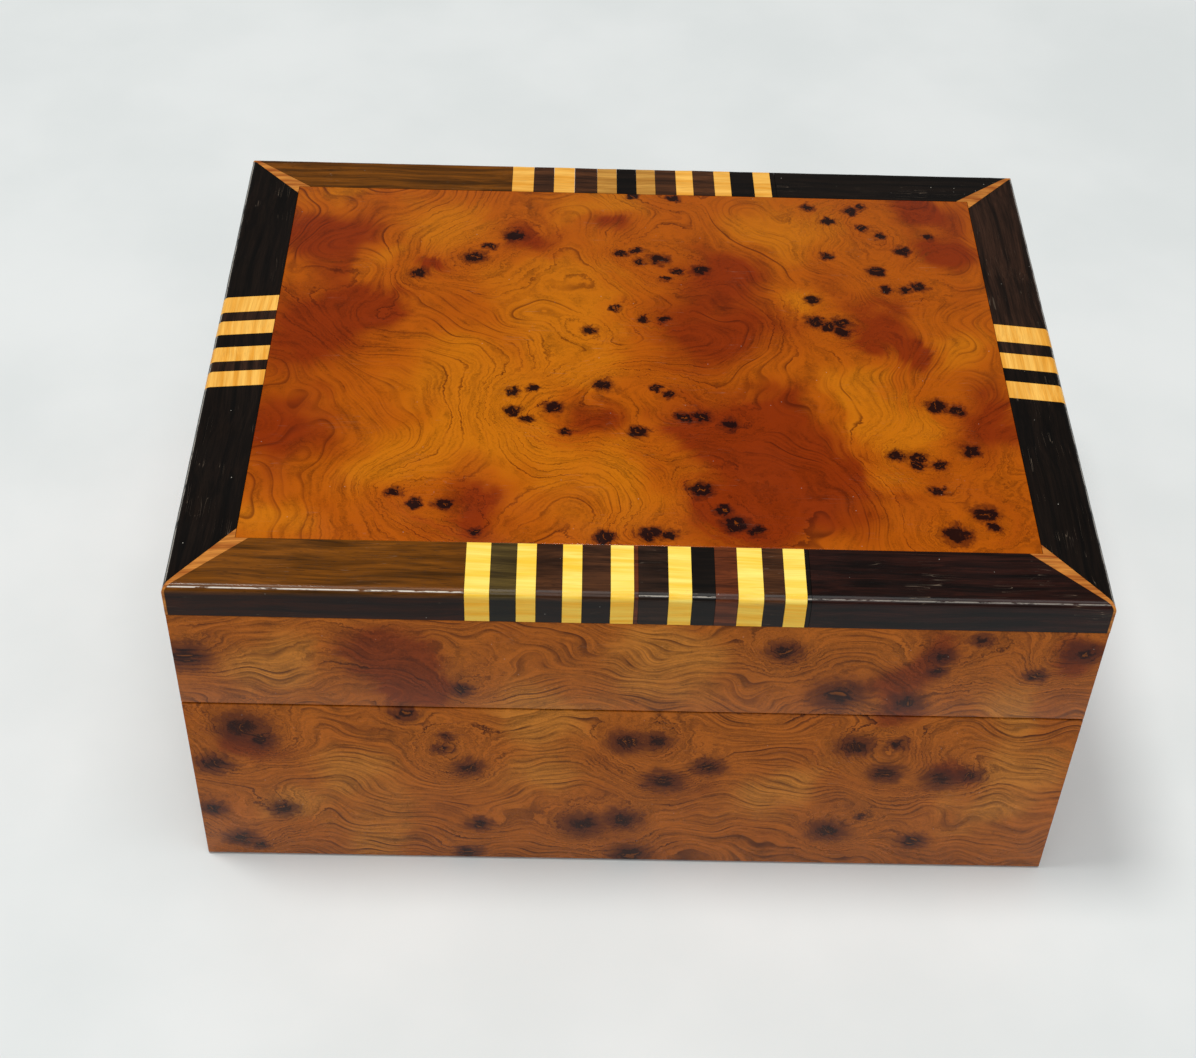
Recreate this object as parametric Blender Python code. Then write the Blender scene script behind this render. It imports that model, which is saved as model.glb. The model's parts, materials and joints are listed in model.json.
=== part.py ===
"""A burl-veneered puzzle box with an inlaid lid, a sliding front that hides the keyhole, and a key tray underneath.

Metres, +Z up. The origin is at the middle of the underside, +X is to the right of the front, and the front faces -Y.
"""

import math

import bmesh
import bpy
from mathutils import Matrix, Vector

# Outside of the box
LENGTH = 0.130
DEPTH = 0.101
HEIGHT = 0.061
GAP = 0.0003  # glue line or running clearance between two pieces
PARTING = 0.03615  # middle of the line between lid and base
BASE_TOP = PARTING - GAP / 2
LID_BOTTOM = PARTING + GAP / 2

# Boards and veneers
VENEER = 0.0009
WALL = 0.007
CORE_X = LENGTH / 2 - VENEER - GAP  # outer face of the boards behind the end veneers
CORE_Y = DEPTH / 2 - VENEER - GAP
INNER_X = CORE_X - WALL
INNER_BACK = CORE_Y - WALL
SLIDE_BACK = -0.0459  # back of the sliding front
FRONT_WALL = (SLIDE_BACK + GAP, -0.038)  # the fixed wall behind it, outer face and inner face

# Lid
BORDER = 0.009  # width of the inlaid border
BORDER_BOTTOM = 0.05475
BORDER_DROP = 0.0008  # the border falls by this much towards the outer edge
ARRIS = 0.00115
ARRIS_STEPS = 6
LID_BOARD_BOTTOM = 0.0495
WEDGE_REACH = 0.0019  # the corner wedge runs on along the panel's edge by this much
WEDGE_TIP = 0.0004

# Striped blocks let into the border: where each starts and ends along X (front, back) or Y (left, right)
FRONT_STRIPES = (-0.0240, 0.0233)
BACK_STRIPES = (-0.0205, 0.0240)
LEFT_STRIPES = (-0.0092, 0.0123)
RIGHT_STRIPES = (-0.0085, 0.0090)

# Hinges, on an axis along X inside the V-groove at the back
HINGE_AXIS = Vector((0.0, DEPTH / 2 - 0.00155, PARTING))
HINGE_PLACES = {"left": -0.038, "right": 0.038}
HINGE_LENGTH = 0.024
KNUCKLE = 0.0014  # outer radius
LEAF = 0.0006  # thickness of the brass
HINGE_PIN = 0.0005
LEAF_EDGE = 0.0436  # the leaves' inner edge along Y
V_GROOVE = math.radians(49.0)  # slope of the chamfers that stop the lid
HINGE_SCREW_Y = 0.0456
HINGE_SCREW_OUT = 0.0078  # from the hinge's middle to each screw

# Key tray under the floor, which slides out to the left
TRAY_BOTTOM = 0.0006
TRAY_TOP = 0.0057
FLOOR = (TRAY_TOP + GAP, 0.009)
TRAY_LIP = 0.0023  # how far its lips reach into the walls
TRAY_LIP_Z = (0.0022, 0.0042)
TRAY_TRAVEL = 0.045
TRAY_PIN = Vector((0.0, 0.025, 0.0))
STOP_PIN = 0.001  # radius

# Sliding front, held by a dovetail tongue
FRONT_TRAVEL = 0.030
TONGUE_X = (-0.060, 0.030)
TONGUE_Z = 0.012
TONGUE_DEPTH = 0.003
TONGUE_HALF = (0.0028, 0.0038)  # half its height at the root and at the tip
FRONT_PIN_X = 0.020

# Lock in the fixed front wall
LOCK_X = (-0.056, -0.036)
LOCK_Y = (-0.0440, -0.0391)
LOCK_Z = (0.020, 0.0357)
LOCK_SHEET = 0.0008
KEYHOLE = Vector((-0.050, 0.0, 0.027))
KEYHOLE_R = 0.0016
KEYHOLE_SLOT = (0.0008, 0.0052)  # half width, and reach below the middle
STAPLE_X = (-0.0425, -0.0410)
STAPLE_Y = (-0.0426, -0.0395)
STAPLE_BOTTOM = 0.0282
BOLT_Y = (-0.0416, -0.0405)

# Key, lying in the tray
KEY_Z = 0.0039
KEY_BOW = Vector((-0.054, 0.0, KEY_Z))
KEY_BOW_R = (0.0032, 0.0055)
KEY_END = -0.027
KEY_SHANK = 0.0012
KEY_BIT_X = (-0.0315, -0.028)
KEY_BIT_REACH = 0.0046


def clear_scene():
    for obj in list(bpy.data.objects):
        bpy.data.objects.remove(obj, do_unlink=True)


def wood_or_metal(name, colour, roughness, metallic=0.0):
    material = bpy.data.materials.new(name)
    material.use_nodes = True
    shader = material.node_tree.nodes["Principled BSDF"]
    shader.inputs["Base Color"].default_value = (*colour, 1.0)
    shader.inputs["Roughness"].default_value = roughness
    shader.inputs["Metallic"].default_value = metallic
    material.diffuse_color = (*colour, 1.0)
    return material


def track(name, place):
    """An empty on a joint's axis. The pieces that move with the joint are its children."""
    empty = bpy.data.objects.new(name, None)
    empty.location = place
    empty.empty_display_size = 0.01
    bpy.context.collection.objects.link(empty)
    return empty


def solid(name, mesh_maker, place, material=None, parent=None):
    """An object from a bmesh that is built round `place`."""
    bmesh.ops.recalc_face_normals(mesh_maker, faces=mesh_maker.faces)
    if mesh_maker.calc_volume(signed=True) < 0:
        bmesh.ops.reverse_faces(mesh_maker, faces=mesh_maker.faces)
    mesh = bpy.data.meshes.new(name)
    mesh_maker.to_mesh(mesh)
    mesh_maker.free()
    obj = bpy.data.objects.new(name, mesh)
    bpy.context.collection.objects.link(obj)
    obj.location = place
    if parent:
        obj.parent = parent
        obj.location = Vector(place) - parent.location
    if material:
        mesh.materials.append(material)
    return obj


def box_mesh(size):
    bm = bmesh.new()
    bmesh.ops.create_cube(bm, size=1.0)
    bmesh.ops.scale(bm, vec=size, verts=bm.verts)
    return bm


def block(name, x, y, z, material=None, parent=None):
    """A board between two values along each axis."""
    low, high = Vector((x[0], y[0], z[0])), Vector((x[1], y[1], z[1]))
    return solid(name, box_mesh(high - low), (low + high) / 2, material, parent)


def prism_mesh(outline, direction):
    """A flat outline of 3D points, extruded along `direction`."""
    bm = bmesh.new()
    face = bm.faces.new([bm.verts.new(point) for point in outline])
    top = bmesh.ops.extrude_face_region(bm, geom=[face])["geom"]
    verts = [item for item in top if isinstance(item, bmesh.types.BMVert)]
    bmesh.ops.translate(bm, vec=direction, verts=verts)
    return bm


def prism_x(outline, x):
    return prism_mesh([(x[0], y, z) for y, z in outline], (x[1] - x[0], 0, 0))


def prism_y(outline, y):
    return prism_mesh([(x, y[0], z) for x, z in outline], (0, y[1] - y[0], 0))


def rod_mesh(radii, heights, sides=12):
    """A turned rod along +Z: one ring of vertices for each radius and height, closed at both ends."""
    bm = bmesh.new()
    turn = 2 * math.pi / sides
    rings = [
        [bm.verts.new((r * math.cos(turn * i), r * math.sin(turn * i), h)) for i in range(sides)]
        for r, h in zip(radii, heights)
    ]
    for ring in (rings[0], rings[-1]):
        bm.faces.new(ring)
    for lower, upper in zip(rings, rings[1:]):
        for i in range(sides):
            j = (i + 1) % sides
            bm.faces.new((lower[i], lower[j], upper[j], upper[i]))
    return bm


def turned(bm, axis, angle):
    bmesh.ops.rotate(bm, cent=(0, 0, 0), matrix=Matrix.Rotation(angle, 3, axis), verts=bm.verts)
    return bm


def rod_x(name, radius, x, y, z, material=None, parent=None, sides=12):
    bm = turned(rod_mesh((radius, radius), (0, x[1] - x[0]), sides), "Y", math.pi / 2)
    return solid(name, bm, (x[0], y, z), material, parent)


def rod_y(name, radius, x, y, z, material=None, parent=None, sides=12):
    bm = turned(rod_mesh((radius, radius), (0, y[1] - y[0]), sides), "X", -math.pi / 2)
    return solid(name, bm, (x, y[0], z), material, parent)


def rod_z(name, radius, x, y, z, material=None, parent=None, sides=12):
    bm = rod_mesh((radius, radius), (0, z[1] - z[0]), sides)
    return solid(name, bm, (x, y, z[0]), material, parent)


def combine(obj, other, operation="DIFFERENCE"):
    """A Boolean on `obj`. The other object is a helper, and isn't part of the box."""
    other.name = "helper_" + other.name
    other.hide_render = True
    other.display_type = "WIRE"
    modifier = obj.modifiers.new(operation.title() + " " + other.name, "BOOLEAN")
    modifier.operation = operation
    modifier.object = other
    return obj


def cut(obj, *cutters):
    for cutter in cutters:
        combine(obj, cutter)
    return obj


def border_section():
    """The border's section as (distance in from the outer face, height), with its rounded outer edge."""
    edge_height = border_top(ARRIS)
    arc = []
    for step in range(ARRIS_STEPS + 1):
        angle = math.pi / 2 * step / ARRIS_STEPS
        arc.append((ARRIS * (1 - math.cos(angle)), edge_height - ARRIS * (1 - math.sin(angle))))
    inner = BORDER - GAP / 2
    return [(0.0, BORDER_BOTTOM), *arc, (inner, border_top(inner)), (inner, BORDER_BOTTOM)]


def border_top(inward):
    return HEIGHT - BORDER_DROP * (1 - inward / BORDER)


def side_frame(side):
    """(quarter turns about Z, half the side's length, its distance from the middle)."""
    return {
        "front": (0, LENGTH / 2, DEPTH / 2),
        "right": (1, DEPTH / 2, LENGTH / 2),
        "back": (2, LENGTH / 2, DEPTH / 2),
        "left": (3, DEPTH / 2, LENGTH / 2),
    }[side]


def border_piece(name, side, start, end, material, parent):
    """A stretch of the border. An end at None is mitred to the corner wedge."""
    quarter, half, reach = side_frame(side)
    run = (-half if start is None else start, half if end is None else end)
    bm = prism_x([(inward - reach, z) for inward, z in border_section()], run)
    for mitred, sign in ((start is None, 1), (end is None, -1)):
        if not mitred:
            continue
        outer = Vector((sign * (WEDGE_TIP - half), -reach, 0))
        along = Vector((sign * (BORDER + WEDGE_REACH - WEDGE_TIP), BORDER, 0))
        normal = Vector((-sign * along.y, sign * along.x, 0))
        found = bmesh.ops.bisect_plane(
            bm,
            geom=bm.verts[:] + bm.edges[:] + bm.faces[:],
            plane_co=outer,
            plane_no=normal,
            clear_outer=True,
        )
        rim = [item for item in found["geom_cut"] if isinstance(item, bmesh.types.BMEdge)]
        bmesh.ops.contextual_create(bm, geom=rim)
    turned(bm, "Z", quarter * math.pi / 2)
    return solid(name, bm, (0, 0, 0), material, parent)


def corner_wedge(name, sign_x, sign_y, material, parent):
    """The tapered strip in a mitre, from the outer corner to the burl panel's corner."""
    inner = BORDER - GAP / 2
    reach = BORDER + WEDGE_REACH - 2 * GAP
    plan = [(WEDGE_TIP, WEDGE_TIP), (reach, inner), (inner, inner), (inner, reach)]
    bm = prism_mesh([(p, q, BORDER_BOTTOM) for p, q in plan], (0, 0, border_top(inner) - BORDER_BOTTOM))
    for vert in bm.verts:
        if vert.co.z > BORDER_BOTTOM and vert.co.x < ARRIS:
            vert.co.z = border_top(0) - ARRIS / 2
        x = LENGTH / 2 - vert.co.x
        y = DEPTH / 2 - vert.co.y
        vert.co = (sign_x * x, sign_y * y, vert.co.z)
    return solid(name, bm, (0, 0, 0), material, parent)


def leaf_outline(up):
    """Section of a hinge leaf round the pin, as (y, z): a plate that ends in a rolled knuckle with a slit."""
    inner = KNUCKLE - LEAF
    near, far = GAP / 2, GAP / 2 + LEAF
    first = math.pi + math.asin(far / KNUCKLE)
    last = 3 * math.pi - math.radians(20)
    back = math.pi + math.asin(near / inner)
    steps = 14
    outer_arc = [first + (last - first) * i / steps for i in range(steps + 1)]
    inner_arc = [last + (back - last) * i / steps for i in range(steps + 1)]
    edge = LEAF_EDGE - HINGE_AXIS.y
    points = [(edge, -far)]
    points += [(KNUCKLE * math.cos(a), KNUCKLE * math.sin(a)) for a in outer_arc]
    points += [(inner * math.cos(a), inner * math.sin(a)) for a in inner_arc]
    points += [(edge, -near)]
    sign = -1 if up else 1
    return [(HINGE_AXIS.y + y, HINGE_AXIS.z + sign * z) for y, z in points]


def hinge_leaf(name, middle, up, material, parent):
    """A leaf: one knuckle in the middle on the base's leaf, and one at each end on the lid's."""
    half = HINGE_LENGTH / 2
    third = HINGE_LENGTH / 6
    leaf = solid(name, prism_x(leaf_outline(up), (middle - half, middle + half)), (0, 0, 0), material, parent)
    clear = KNUCKLE + GAP
    knuckle_y = (HINGE_AXIS.y - clear, HINGE_AXIS.y + clear)
    knuckle_z = (HINGE_AXIS.z - clear, HINGE_AXIS.z + clear)
    if up:
        spans = [(-third - GAP / 2, third + GAP / 2)]
    else:
        spans = [(-half - GAP, -third + GAP / 2), (third - GAP / 2, half + GAP)]
    for index, (start, end) in enumerate(spans):
        cut(leaf, block(f"{name}_notch_{index}", (middle + start, middle + end), knuckle_y, knuckle_z))
    for x in (middle - HINGE_SCREW_OUT, middle + HINGE_SCREW_OUT):
        cut(leaf, countersink(f"{name}_hole", x, up))
    return leaf


def countersink(name, x, up):
    """A cone that cuts a leaf's screw hole, wide at the face where the leaves meet."""
    margin = 0.0002
    bm = rod_mesh((0.00195, 0.00085), (-margin, LEAF + margin), 14)
    turned(bm, "X", 0 if up else math.pi)
    face = HINGE_AXIS.z + (GAP / 2 if up else -GAP / 2)
    return solid(name, bm, (x, HINGE_SCREW_Y, face))


def hinge_screw(name, x, up, material, parent):
    sunk = 0.00005
    radii = (0.0014, 0.0007, 0.0006, 0.0006, 0.00015)
    heights = (sunk, sunk + 0.0005, sunk + 0.0006, 0.0042, 0.0050)
    bm = turned(rod_mesh(radii, heights), "X", 0 if up else math.pi)
    face = HINGE_AXIS.z + (GAP / 2 if up else -GAP / 2)
    return solid(name, bm, (x, HINGE_SCREW_Y, face), material, parent)


def hinge_pockets(obj, name, up):
    """Cuts the leaf and knuckle recesses and the screw holes into a back board or back veneer."""
    clear = KNUCKLE + GAP
    past = 0.002
    for side, middle in HINGE_PLACES.items():
        run = (middle - HINGE_LENGTH / 2 - GAP, middle + HINGE_LENGTH / 2 + GAP)
        if up:
            leaf_z = (LID_BOTTOM - past, HINGE_AXIS.z + GAP / 2 + LEAF + GAP)
            barrel_z = (LID_BOTTOM - past, HINGE_AXIS.z + clear)
        else:
            leaf_z = (HINGE_AXIS.z - GAP / 2 - LEAF - GAP, BASE_TOP + past)
            barrel_z = (HINGE_AXIS.z - clear, BASE_TOP + past)
        cut(
            obj,
            block(f"{name}_{side}_barrel", run, (HINGE_AXIS.y - clear, DEPTH / 2 + past), barrel_z),
            block(f"{name}_{side}_leaf", run, (LEAF_EDGE - GAP, HINGE_AXIS.y), leaf_z),
        )
    return obj


def screw_holes(obj, name, up):
    depth = 0.0056
    radius = 0.0009
    z = (PARTING, PARTING + depth) if up else (PARTING - depth, PARTING)
    for side, middle in HINGE_PLACES.items():
        for index, x in enumerate((middle - HINGE_SCREW_OUT, middle + HINGE_SCREW_OUT)):
            cut(obj, rod_z(f"{name}_{side}_screw_{index}", radius, x, HINGE_SCREW_Y, z, sides=10))
    return obj


def v_groove(name, up):
    """A wedge-shaped cutter that chamfers the back edge at the parting line, with its apex on the hinge axis."""
    past = 0.004
    rise = past * math.tan(V_GROOVE) * (1 if up else -1)
    y, z = HINGE_AXIS.y, HINGE_AXIS.z
    below = -0.001 if up else 0.001
    outline = [(y, z), (y + past, z + rise), (y + past, z + below), (y, z + below)]
    return solid(name, prism_x(outline, (-LENGTH, LENGTH)), (0, 0, 0))


def lid_boards(wood, lid):
    walls_z = (LID_BOTTOM, LID_BOARD_BOTTOM - GAP)
    sides_y = (FRONT_WALL[1] + GAP, INNER_BACK - GAP)
    front = block("lid_front_wall", (-CORE_X, CORE_X), (-CORE_Y, FRONT_WALL[1]), walls_z, wood, lid)
    cut(front, staple_pocket())
    back = block("lid_back_wall", (-CORE_X, CORE_X), (INNER_BACK, CORE_Y), walls_z, wood, lid)
    cut(back, v_groove("lid_back_chamfer", True))
    hinge_pockets(back, "lid_back", True)
    screw_holes(back, "lid_back", True)
    block("lid_left_wall", (-CORE_X, -INNER_X), sides_y, walls_z, wood, lid)
    block("lid_right_wall", (INNER_X, CORE_X), sides_y, walls_z, wood, lid)
    lid_top_board(wood, lid)


def lid_top_board(wood, lid):
    """A board whose rebated edge takes the border. The middle stands up under the burl panel."""
    shoulder = BORDER_BOTTOM - GAP
    panel_bottom = HEIGHT - VENEER - GAP
    bm = box_mesh((2 * CORE_X, 2 * CORE_Y, shoulder - LID_BOARD_BOTTOM))
    top = max(bm.faces, key=lambda face: face.calc_center_median().z)
    inset = BORDER + GAP / 2 - VENEER - GAP
    bmesh.ops.inset_region(bm, faces=[top], thickness=inset, use_even_offset=True)
    risen = bmesh.ops.extrude_face_region(bm, geom=[top])["geom"]
    verts = [item for item in risen if isinstance(item, bmesh.types.BMVert)]
    bmesh.ops.translate(bm, vec=(0, 0, panel_bottom - shoulder), verts=verts)
    bmesh.ops.delete(bm, geom=[top], context="FACES_ONLY")
    return solid("lid_top_board", bm, (0, 0, (LID_BOARD_BOTTOM + shoulder) / 2), wood, lid)


def lid_veneers(burl, lid):
    z = (LID_BOTTOM, BORDER_BOTTOM - GAP)
    outer_x, outer_y = LENGTH / 2, DEPTH / 2
    block("lid_front_burl", (-outer_x, outer_x), (-outer_y, -outer_y + VENEER), z, burl, lid)
    back = block("lid_back_burl", (-outer_x, outer_x), (outer_y - VENEER, outer_y), z, burl, lid)
    cut(back, v_groove("lid_back_burl_chamfer", True))
    hinge_pockets(back, "lid_back_burl", True)
    left = block("lid_left_burl", (-outer_x, -outer_x + VENEER), (-CORE_Y, CORE_Y), z, burl, lid)
    cut(left, v_groove("lid_left_burl_chamfer", True))
    right = block("lid_right_burl", (outer_x - VENEER, outer_x), (-CORE_Y, CORE_Y), z, burl, lid)
    cut(right, v_groove("lid_right_burl_chamfer", True))
    panel_x, panel_y = outer_x - BORDER - GAP / 2, outer_y - BORDER - GAP / 2
    panel_z = (HEIGHT - VENEER, HEIGHT)
    block("lid_burl_panel", (-panel_x, panel_x), (-panel_y, panel_y), panel_z, burl, lid)


def lid_border(walnut, ebony, stripes, citron, lid):
    """Each side is two mitred rails with a striped block between them, and each mitre holds a wedge."""
    sides = {
        "front": (FRONT_STRIPES, ("left", walnut), ("right", ebony)),
        "right": (RIGHT_STRIPES, ("front", ebony), ("back", walnut)),
        "back": ((-BACK_STRIPES[1], -BACK_STRIPES[0]), ("right", ebony), ("left", walnut)),
        "left": ((-LEFT_STRIPES[1], -LEFT_STRIPES[0]), ("back", ebony), ("front", ebony)),
    }
    for side, (span, first, second) in sides.items():
        border_piece(f"border_{side}_{first[0]}", side, None, span[0] - GAP, first[1], lid)
        border_piece(f"stripes_{side}", side, span[0], span[1], stripes, lid)
        border_piece(f"border_{side}_{second[0]}", side, span[1] + GAP, None, second[1], lid)
    for name_y, sign_y in (("front", -1), ("back", 1)):
        for name_x, sign_x in (("left", -1), ("right", 1)):
            corner_wedge(f"wedge_{name_y}_{name_x}", sign_x, sign_y, citron, lid)


def base_boards(wood, base):
    walls_z = (0.0, BASE_TOP)
    sides_y = (FRONT_WALL[1] + GAP, INNER_BACK - GAP)
    front = block("base_front_wall", (-CORE_X, CORE_X), FRONT_WALL, walls_z, wood, base)
    cut(front, tray_groove("front", FRONT_WALL[1], -1), tongue_groove(), *lock_mortise())
    cut(front, front_pin_hole())
    back = block("base_back_wall", (-CORE_X, CORE_X), (INNER_BACK, CORE_Y), walls_z, wood, base)
    cut(back, tray_groove("back", INNER_BACK, 1), v_groove("base_back_chamfer", False))
    hinge_pockets(back, "base_back", False)
    screw_holes(back, "base_back", False)
    block("base_left_wall", (-CORE_X, -INNER_X), sides_y, (FLOOR[0], BASE_TOP), wood, base)
    block("base_right_wall", (INNER_X, CORE_X), sides_y, walls_z, wood, base)
    floor_x = INNER_X - GAP
    floor = block("base_floor", (-floor_x, floor_x), sides_y, FLOOR, wood, base)
    hole_z = (FLOOR[0] - 0.001, FLOOR[1] + 0.001)
    cut(floor, rod_z("floor_pin_hole", STOP_PIN + GAP, TRAY_PIN.x, TRAY_PIN.y, hole_z))


def tray_groove(name, face, direction):
    """The groove that a lip of the tray runs in, open at the left end of the wall."""
    past = 0.001
    y = sorted((face - direction * past, face + direction * (TRAY_LIP + GAP)))
    z = (TRAY_LIP_Z[0] - GAP, TRAY_LIP_Z[1] + GAP)
    return block(f"tray_groove_{name}", (-LENGTH, INNER_X), y, z)


def base_veneers(burl, base):
    outer_x, outer_y = LENGTH / 2, DEPTH / 2
    back = block("base_back_burl", (-outer_x, outer_x), (outer_y - VENEER, outer_y), (0, BASE_TOP), burl, base)
    cut(back, v_groove("base_back_burl_chamfer", False))
    hinge_pockets(back, "base_back_burl", False)
    side_y = (FRONT_WALL[0], CORE_Y)
    left = block("base_left_burl", (-outer_x, -outer_x + VENEER), side_y, (FLOOR[0], BASE_TOP), burl, base)
    cut(left, v_groove("base_left_burl_chamfer", False))
    right = block("base_right_burl", (outer_x - VENEER, outer_x), side_y, (0, BASE_TOP), burl, base)
    cut(right, v_groove("base_right_burl_chamfer", False))


def hinges(brass, base, lid):
    for side, middle in HINGE_PLACES.items():
        hinge_leaf(f"hinge_{side}_lower_leaf", middle, False, brass, base)
        hinge_leaf(f"hinge_{side}_upper_leaf", middle, True, brass, lid)
        half = HINGE_LENGTH / 2
        pin_x = (middle - half, middle + half)
        rod_x(f"hinge_{side}_pin", HINGE_PIN, pin_x, HINGE_AXIS.y, HINGE_AXIS.z, brass, base)
        for index, x in enumerate((middle - HINGE_SCREW_OUT, middle + HINGE_SCREW_OUT), 1):
            hinge_screw(f"hinge_{side}_lower_screw_{index}", x, False, brass, base)
            hinge_screw(f"hinge_{side}_upper_screw_{index}", x, True, brass, lid)


def dovetail(grow):
    """Section of the sliding front's tongue as (y, z), grown by a clearance for its groove."""
    root, tip = TONGUE_HALF[0] + grow, TONGUE_HALF[1] + grow
    start = SLIDE_BACK - GAP if grow else SLIDE_BACK - 0.0005
    end = SLIDE_BACK + TONGUE_DEPTH + grow
    return [(start, TONGUE_Z - root), (end, TONGUE_Z - tip), (end, TONGUE_Z + tip), (start, TONGUE_Z + root)]


def tongue_groove():
    """Open at the left end, where the tongue is slid in before the end is veneered."""
    end = TONGUE_X[1] + FRONT_TRAVEL + GAP
    return solid("tongue_groove", prism_x(dovetail(GAP), (-LENGTH, end)), (0, 0, 0))


def front_pin_hole():
    y = (SLIDE_BACK, FRONT_WALL[1] + 0.001)
    return rod_y("front_pin_hole", STOP_PIN + GAP, FRONT_PIN_X, y, TONGUE_Z)


def sliding_front(wood, burl, brass, base, slide):
    panel_z = (GAP, BASE_TOP)
    outer_x, outer_y = LENGTH / 2, DEPTH / 2
    panel = block("front_slide_panel", (-outer_x, outer_x), (-CORE_Y, SLIDE_BACK), panel_z, wood, slide)
    combine(panel, solid("tongue", prism_x(dovetail(0), TONGUE_X), (0, 0, 0)), "UNION")
    slot_x = (FRONT_PIN_X - FRONT_TRAVEL - STOP_PIN - GAP, FRONT_PIN_X + STOP_PIN + GAP)
    slot_y = (SLIDE_BACK + 0.001, SLIDE_BACK + TONGUE_DEPTH + 0.001)
    slot_z = (TONGUE_Z - STOP_PIN - GAP, TONGUE_Z + STOP_PIN + GAP)
    cut(panel, block("tongue_slot", slot_x, slot_y, slot_z))
    block("front_slide_burl", (-outer_x, outer_x), (-outer_y, -outer_y + VENEER), panel_z, burl, slide)
    pin_y = (SLIDE_BACK + 0.0014, FRONT_WALL[1] - GAP)
    rod_y("front_stop_pin", STOP_PIN, FRONT_PIN_X, pin_y, TONGUE_Z, brass, base)


def key_tray(wood, burl, brass, base, tray):
    """A false bottom with the key's recess in it, and a strip of veneer that closes the left end."""
    board_y = (FRONT_WALL[1] + GAP, INNER_BACK - GAP)
    board_z = (TRAY_BOTTOM, TRAY_TOP)
    board_x = (-CORE_X, INNER_X - GAP)
    board = block("key_tray", board_x, board_y, board_z, wood, tray)
    for index, (face, sign) in enumerate(((board_y[0], -1), (board_y[1], 1))):
        lip_y = sorted((face - sign * 0.001, face + sign * TRAY_LIP))
        combine(board, block(f"tray_lip_{index}", board_x, lip_y, TRAY_LIP_Z), "UNION")
    slot_x = (TRAY_PIN.x - STOP_PIN - GAP, TRAY_PIN.x + TRAY_TRAVEL + STOP_PIN + GAP)
    slot_y = (TRAY_PIN.y - STOP_PIN - GAP, TRAY_PIN.y + STOP_PIN + GAP)
    cut(board, block("tray_slot", slot_x, slot_y, (0.0029, 0.008)), *key_recess())
    end_x = (-LENGTH / 2, -LENGTH / 2 + VENEER)
    block("key_tray_end_burl", end_x, (FRONT_WALL[0], CORE_Y), board_z, burl, tray)
    rod_z("tray_stop_pin", STOP_PIN, TRAY_PIN.x, TRAY_PIN.y, (0.0034, FLOOR[1] - GAP), brass, base)


def key_recess():
    clear = 0.0006
    z = (0.0024, 0.008)
    bow = rod_z("recess_bow", KEY_BOW_R[1] + clear, KEY_BOW.x, KEY_BOW.y, z, sides=28)
    shank_x = (KEY_BOW.x, KEY_END + clear)
    shank = block("recess_shank", shank_x, (-KEY_SHANK - clear, KEY_SHANK + clear), z)
    bit_x = (KEY_BIT_X[0] - clear, KEY_BIT_X[1] + clear)
    bit = block("recess_bit", bit_x, (-KEY_BIT_REACH - clear, 0), z)
    return bow, shank, bit


def key(brass, tray):
    thickness = 0.0018
    bow_z = (KEY_Z - thickness / 2, KEY_Z + thickness / 2)
    bow = rod_z("key", KEY_BOW_R[1], KEY_BOW.x, KEY_BOW.y, bow_z, brass, tray, sides=28)
    cut(bow, rod_z("key_bow_hole", KEY_BOW_R[0], KEY_BOW.x, KEY_BOW.y, (0, 0.01), sides=24))
    shank_x = (KEY_BOW.x + KEY_BOW_R[1] - 0.001, KEY_END)
    combine(bow, rod_x("key_shank", KEY_SHANK, shank_x, 0, KEY_Z, sides=14), "UNION")
    bit_y = (-KEY_BIT_REACH, -KEY_SHANK / 2)
    combine(bow, block("key_bit", KEY_BIT_X, bit_y, (KEY_Z - 0.0005, KEY_Z + 0.0005)), "UNION")
    cut(bow, rod_x("key_barrel", 0.0007, (KEY_END - 0.006, KEY_END + 0.001), 0, KEY_Z, sides=10))
    return bow


def keyhole_cutters(name, y):
    half, reach = KEYHOLE_SLOT
    slot_z = (KEYHOLE.z - reach, KEYHOLE.z)
    return (
        rod_y(f"{name}_round", KEYHOLE_R, KEYHOLE.x, y, KEYHOLE.z, sides=16),
        block(f"{name}_slot", (KEYHOLE.x - half, KEYHOLE.x + half), y, slot_z),
    )


def lock_cover_span():
    """The cover plate is wider than the case by a rim that the screws hold: (x, z)."""
    rim = 0.0007
    return (LOCK_X[0] - rim, LOCK_X[1] + rim), (LOCK_Z[0] - 2 * rim, LOCK_Z[1])


def lock_mortise():
    case_x = (LOCK_X[0] - GAP, LOCK_X[1] + GAP)
    case = block("mortise_case", case_x, (LOCK_Y[0] - GAP, 0), (LOCK_Z[0] - GAP, BASE_TOP + 0.001))
    plate_x, plate_z = lock_cover_span()
    plate_x = (plate_x[0] - GAP, plate_x[1] + GAP)
    plate = block("mortise_plate", plate_x, (LOCK_Y[1], 0), (plate_z[0] - GAP, BASE_TOP + 0.001))
    return case, plate, *keyhole_cutters("wall_keyhole", (-DEPTH / 2, LOCK_Y[0]))


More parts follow.
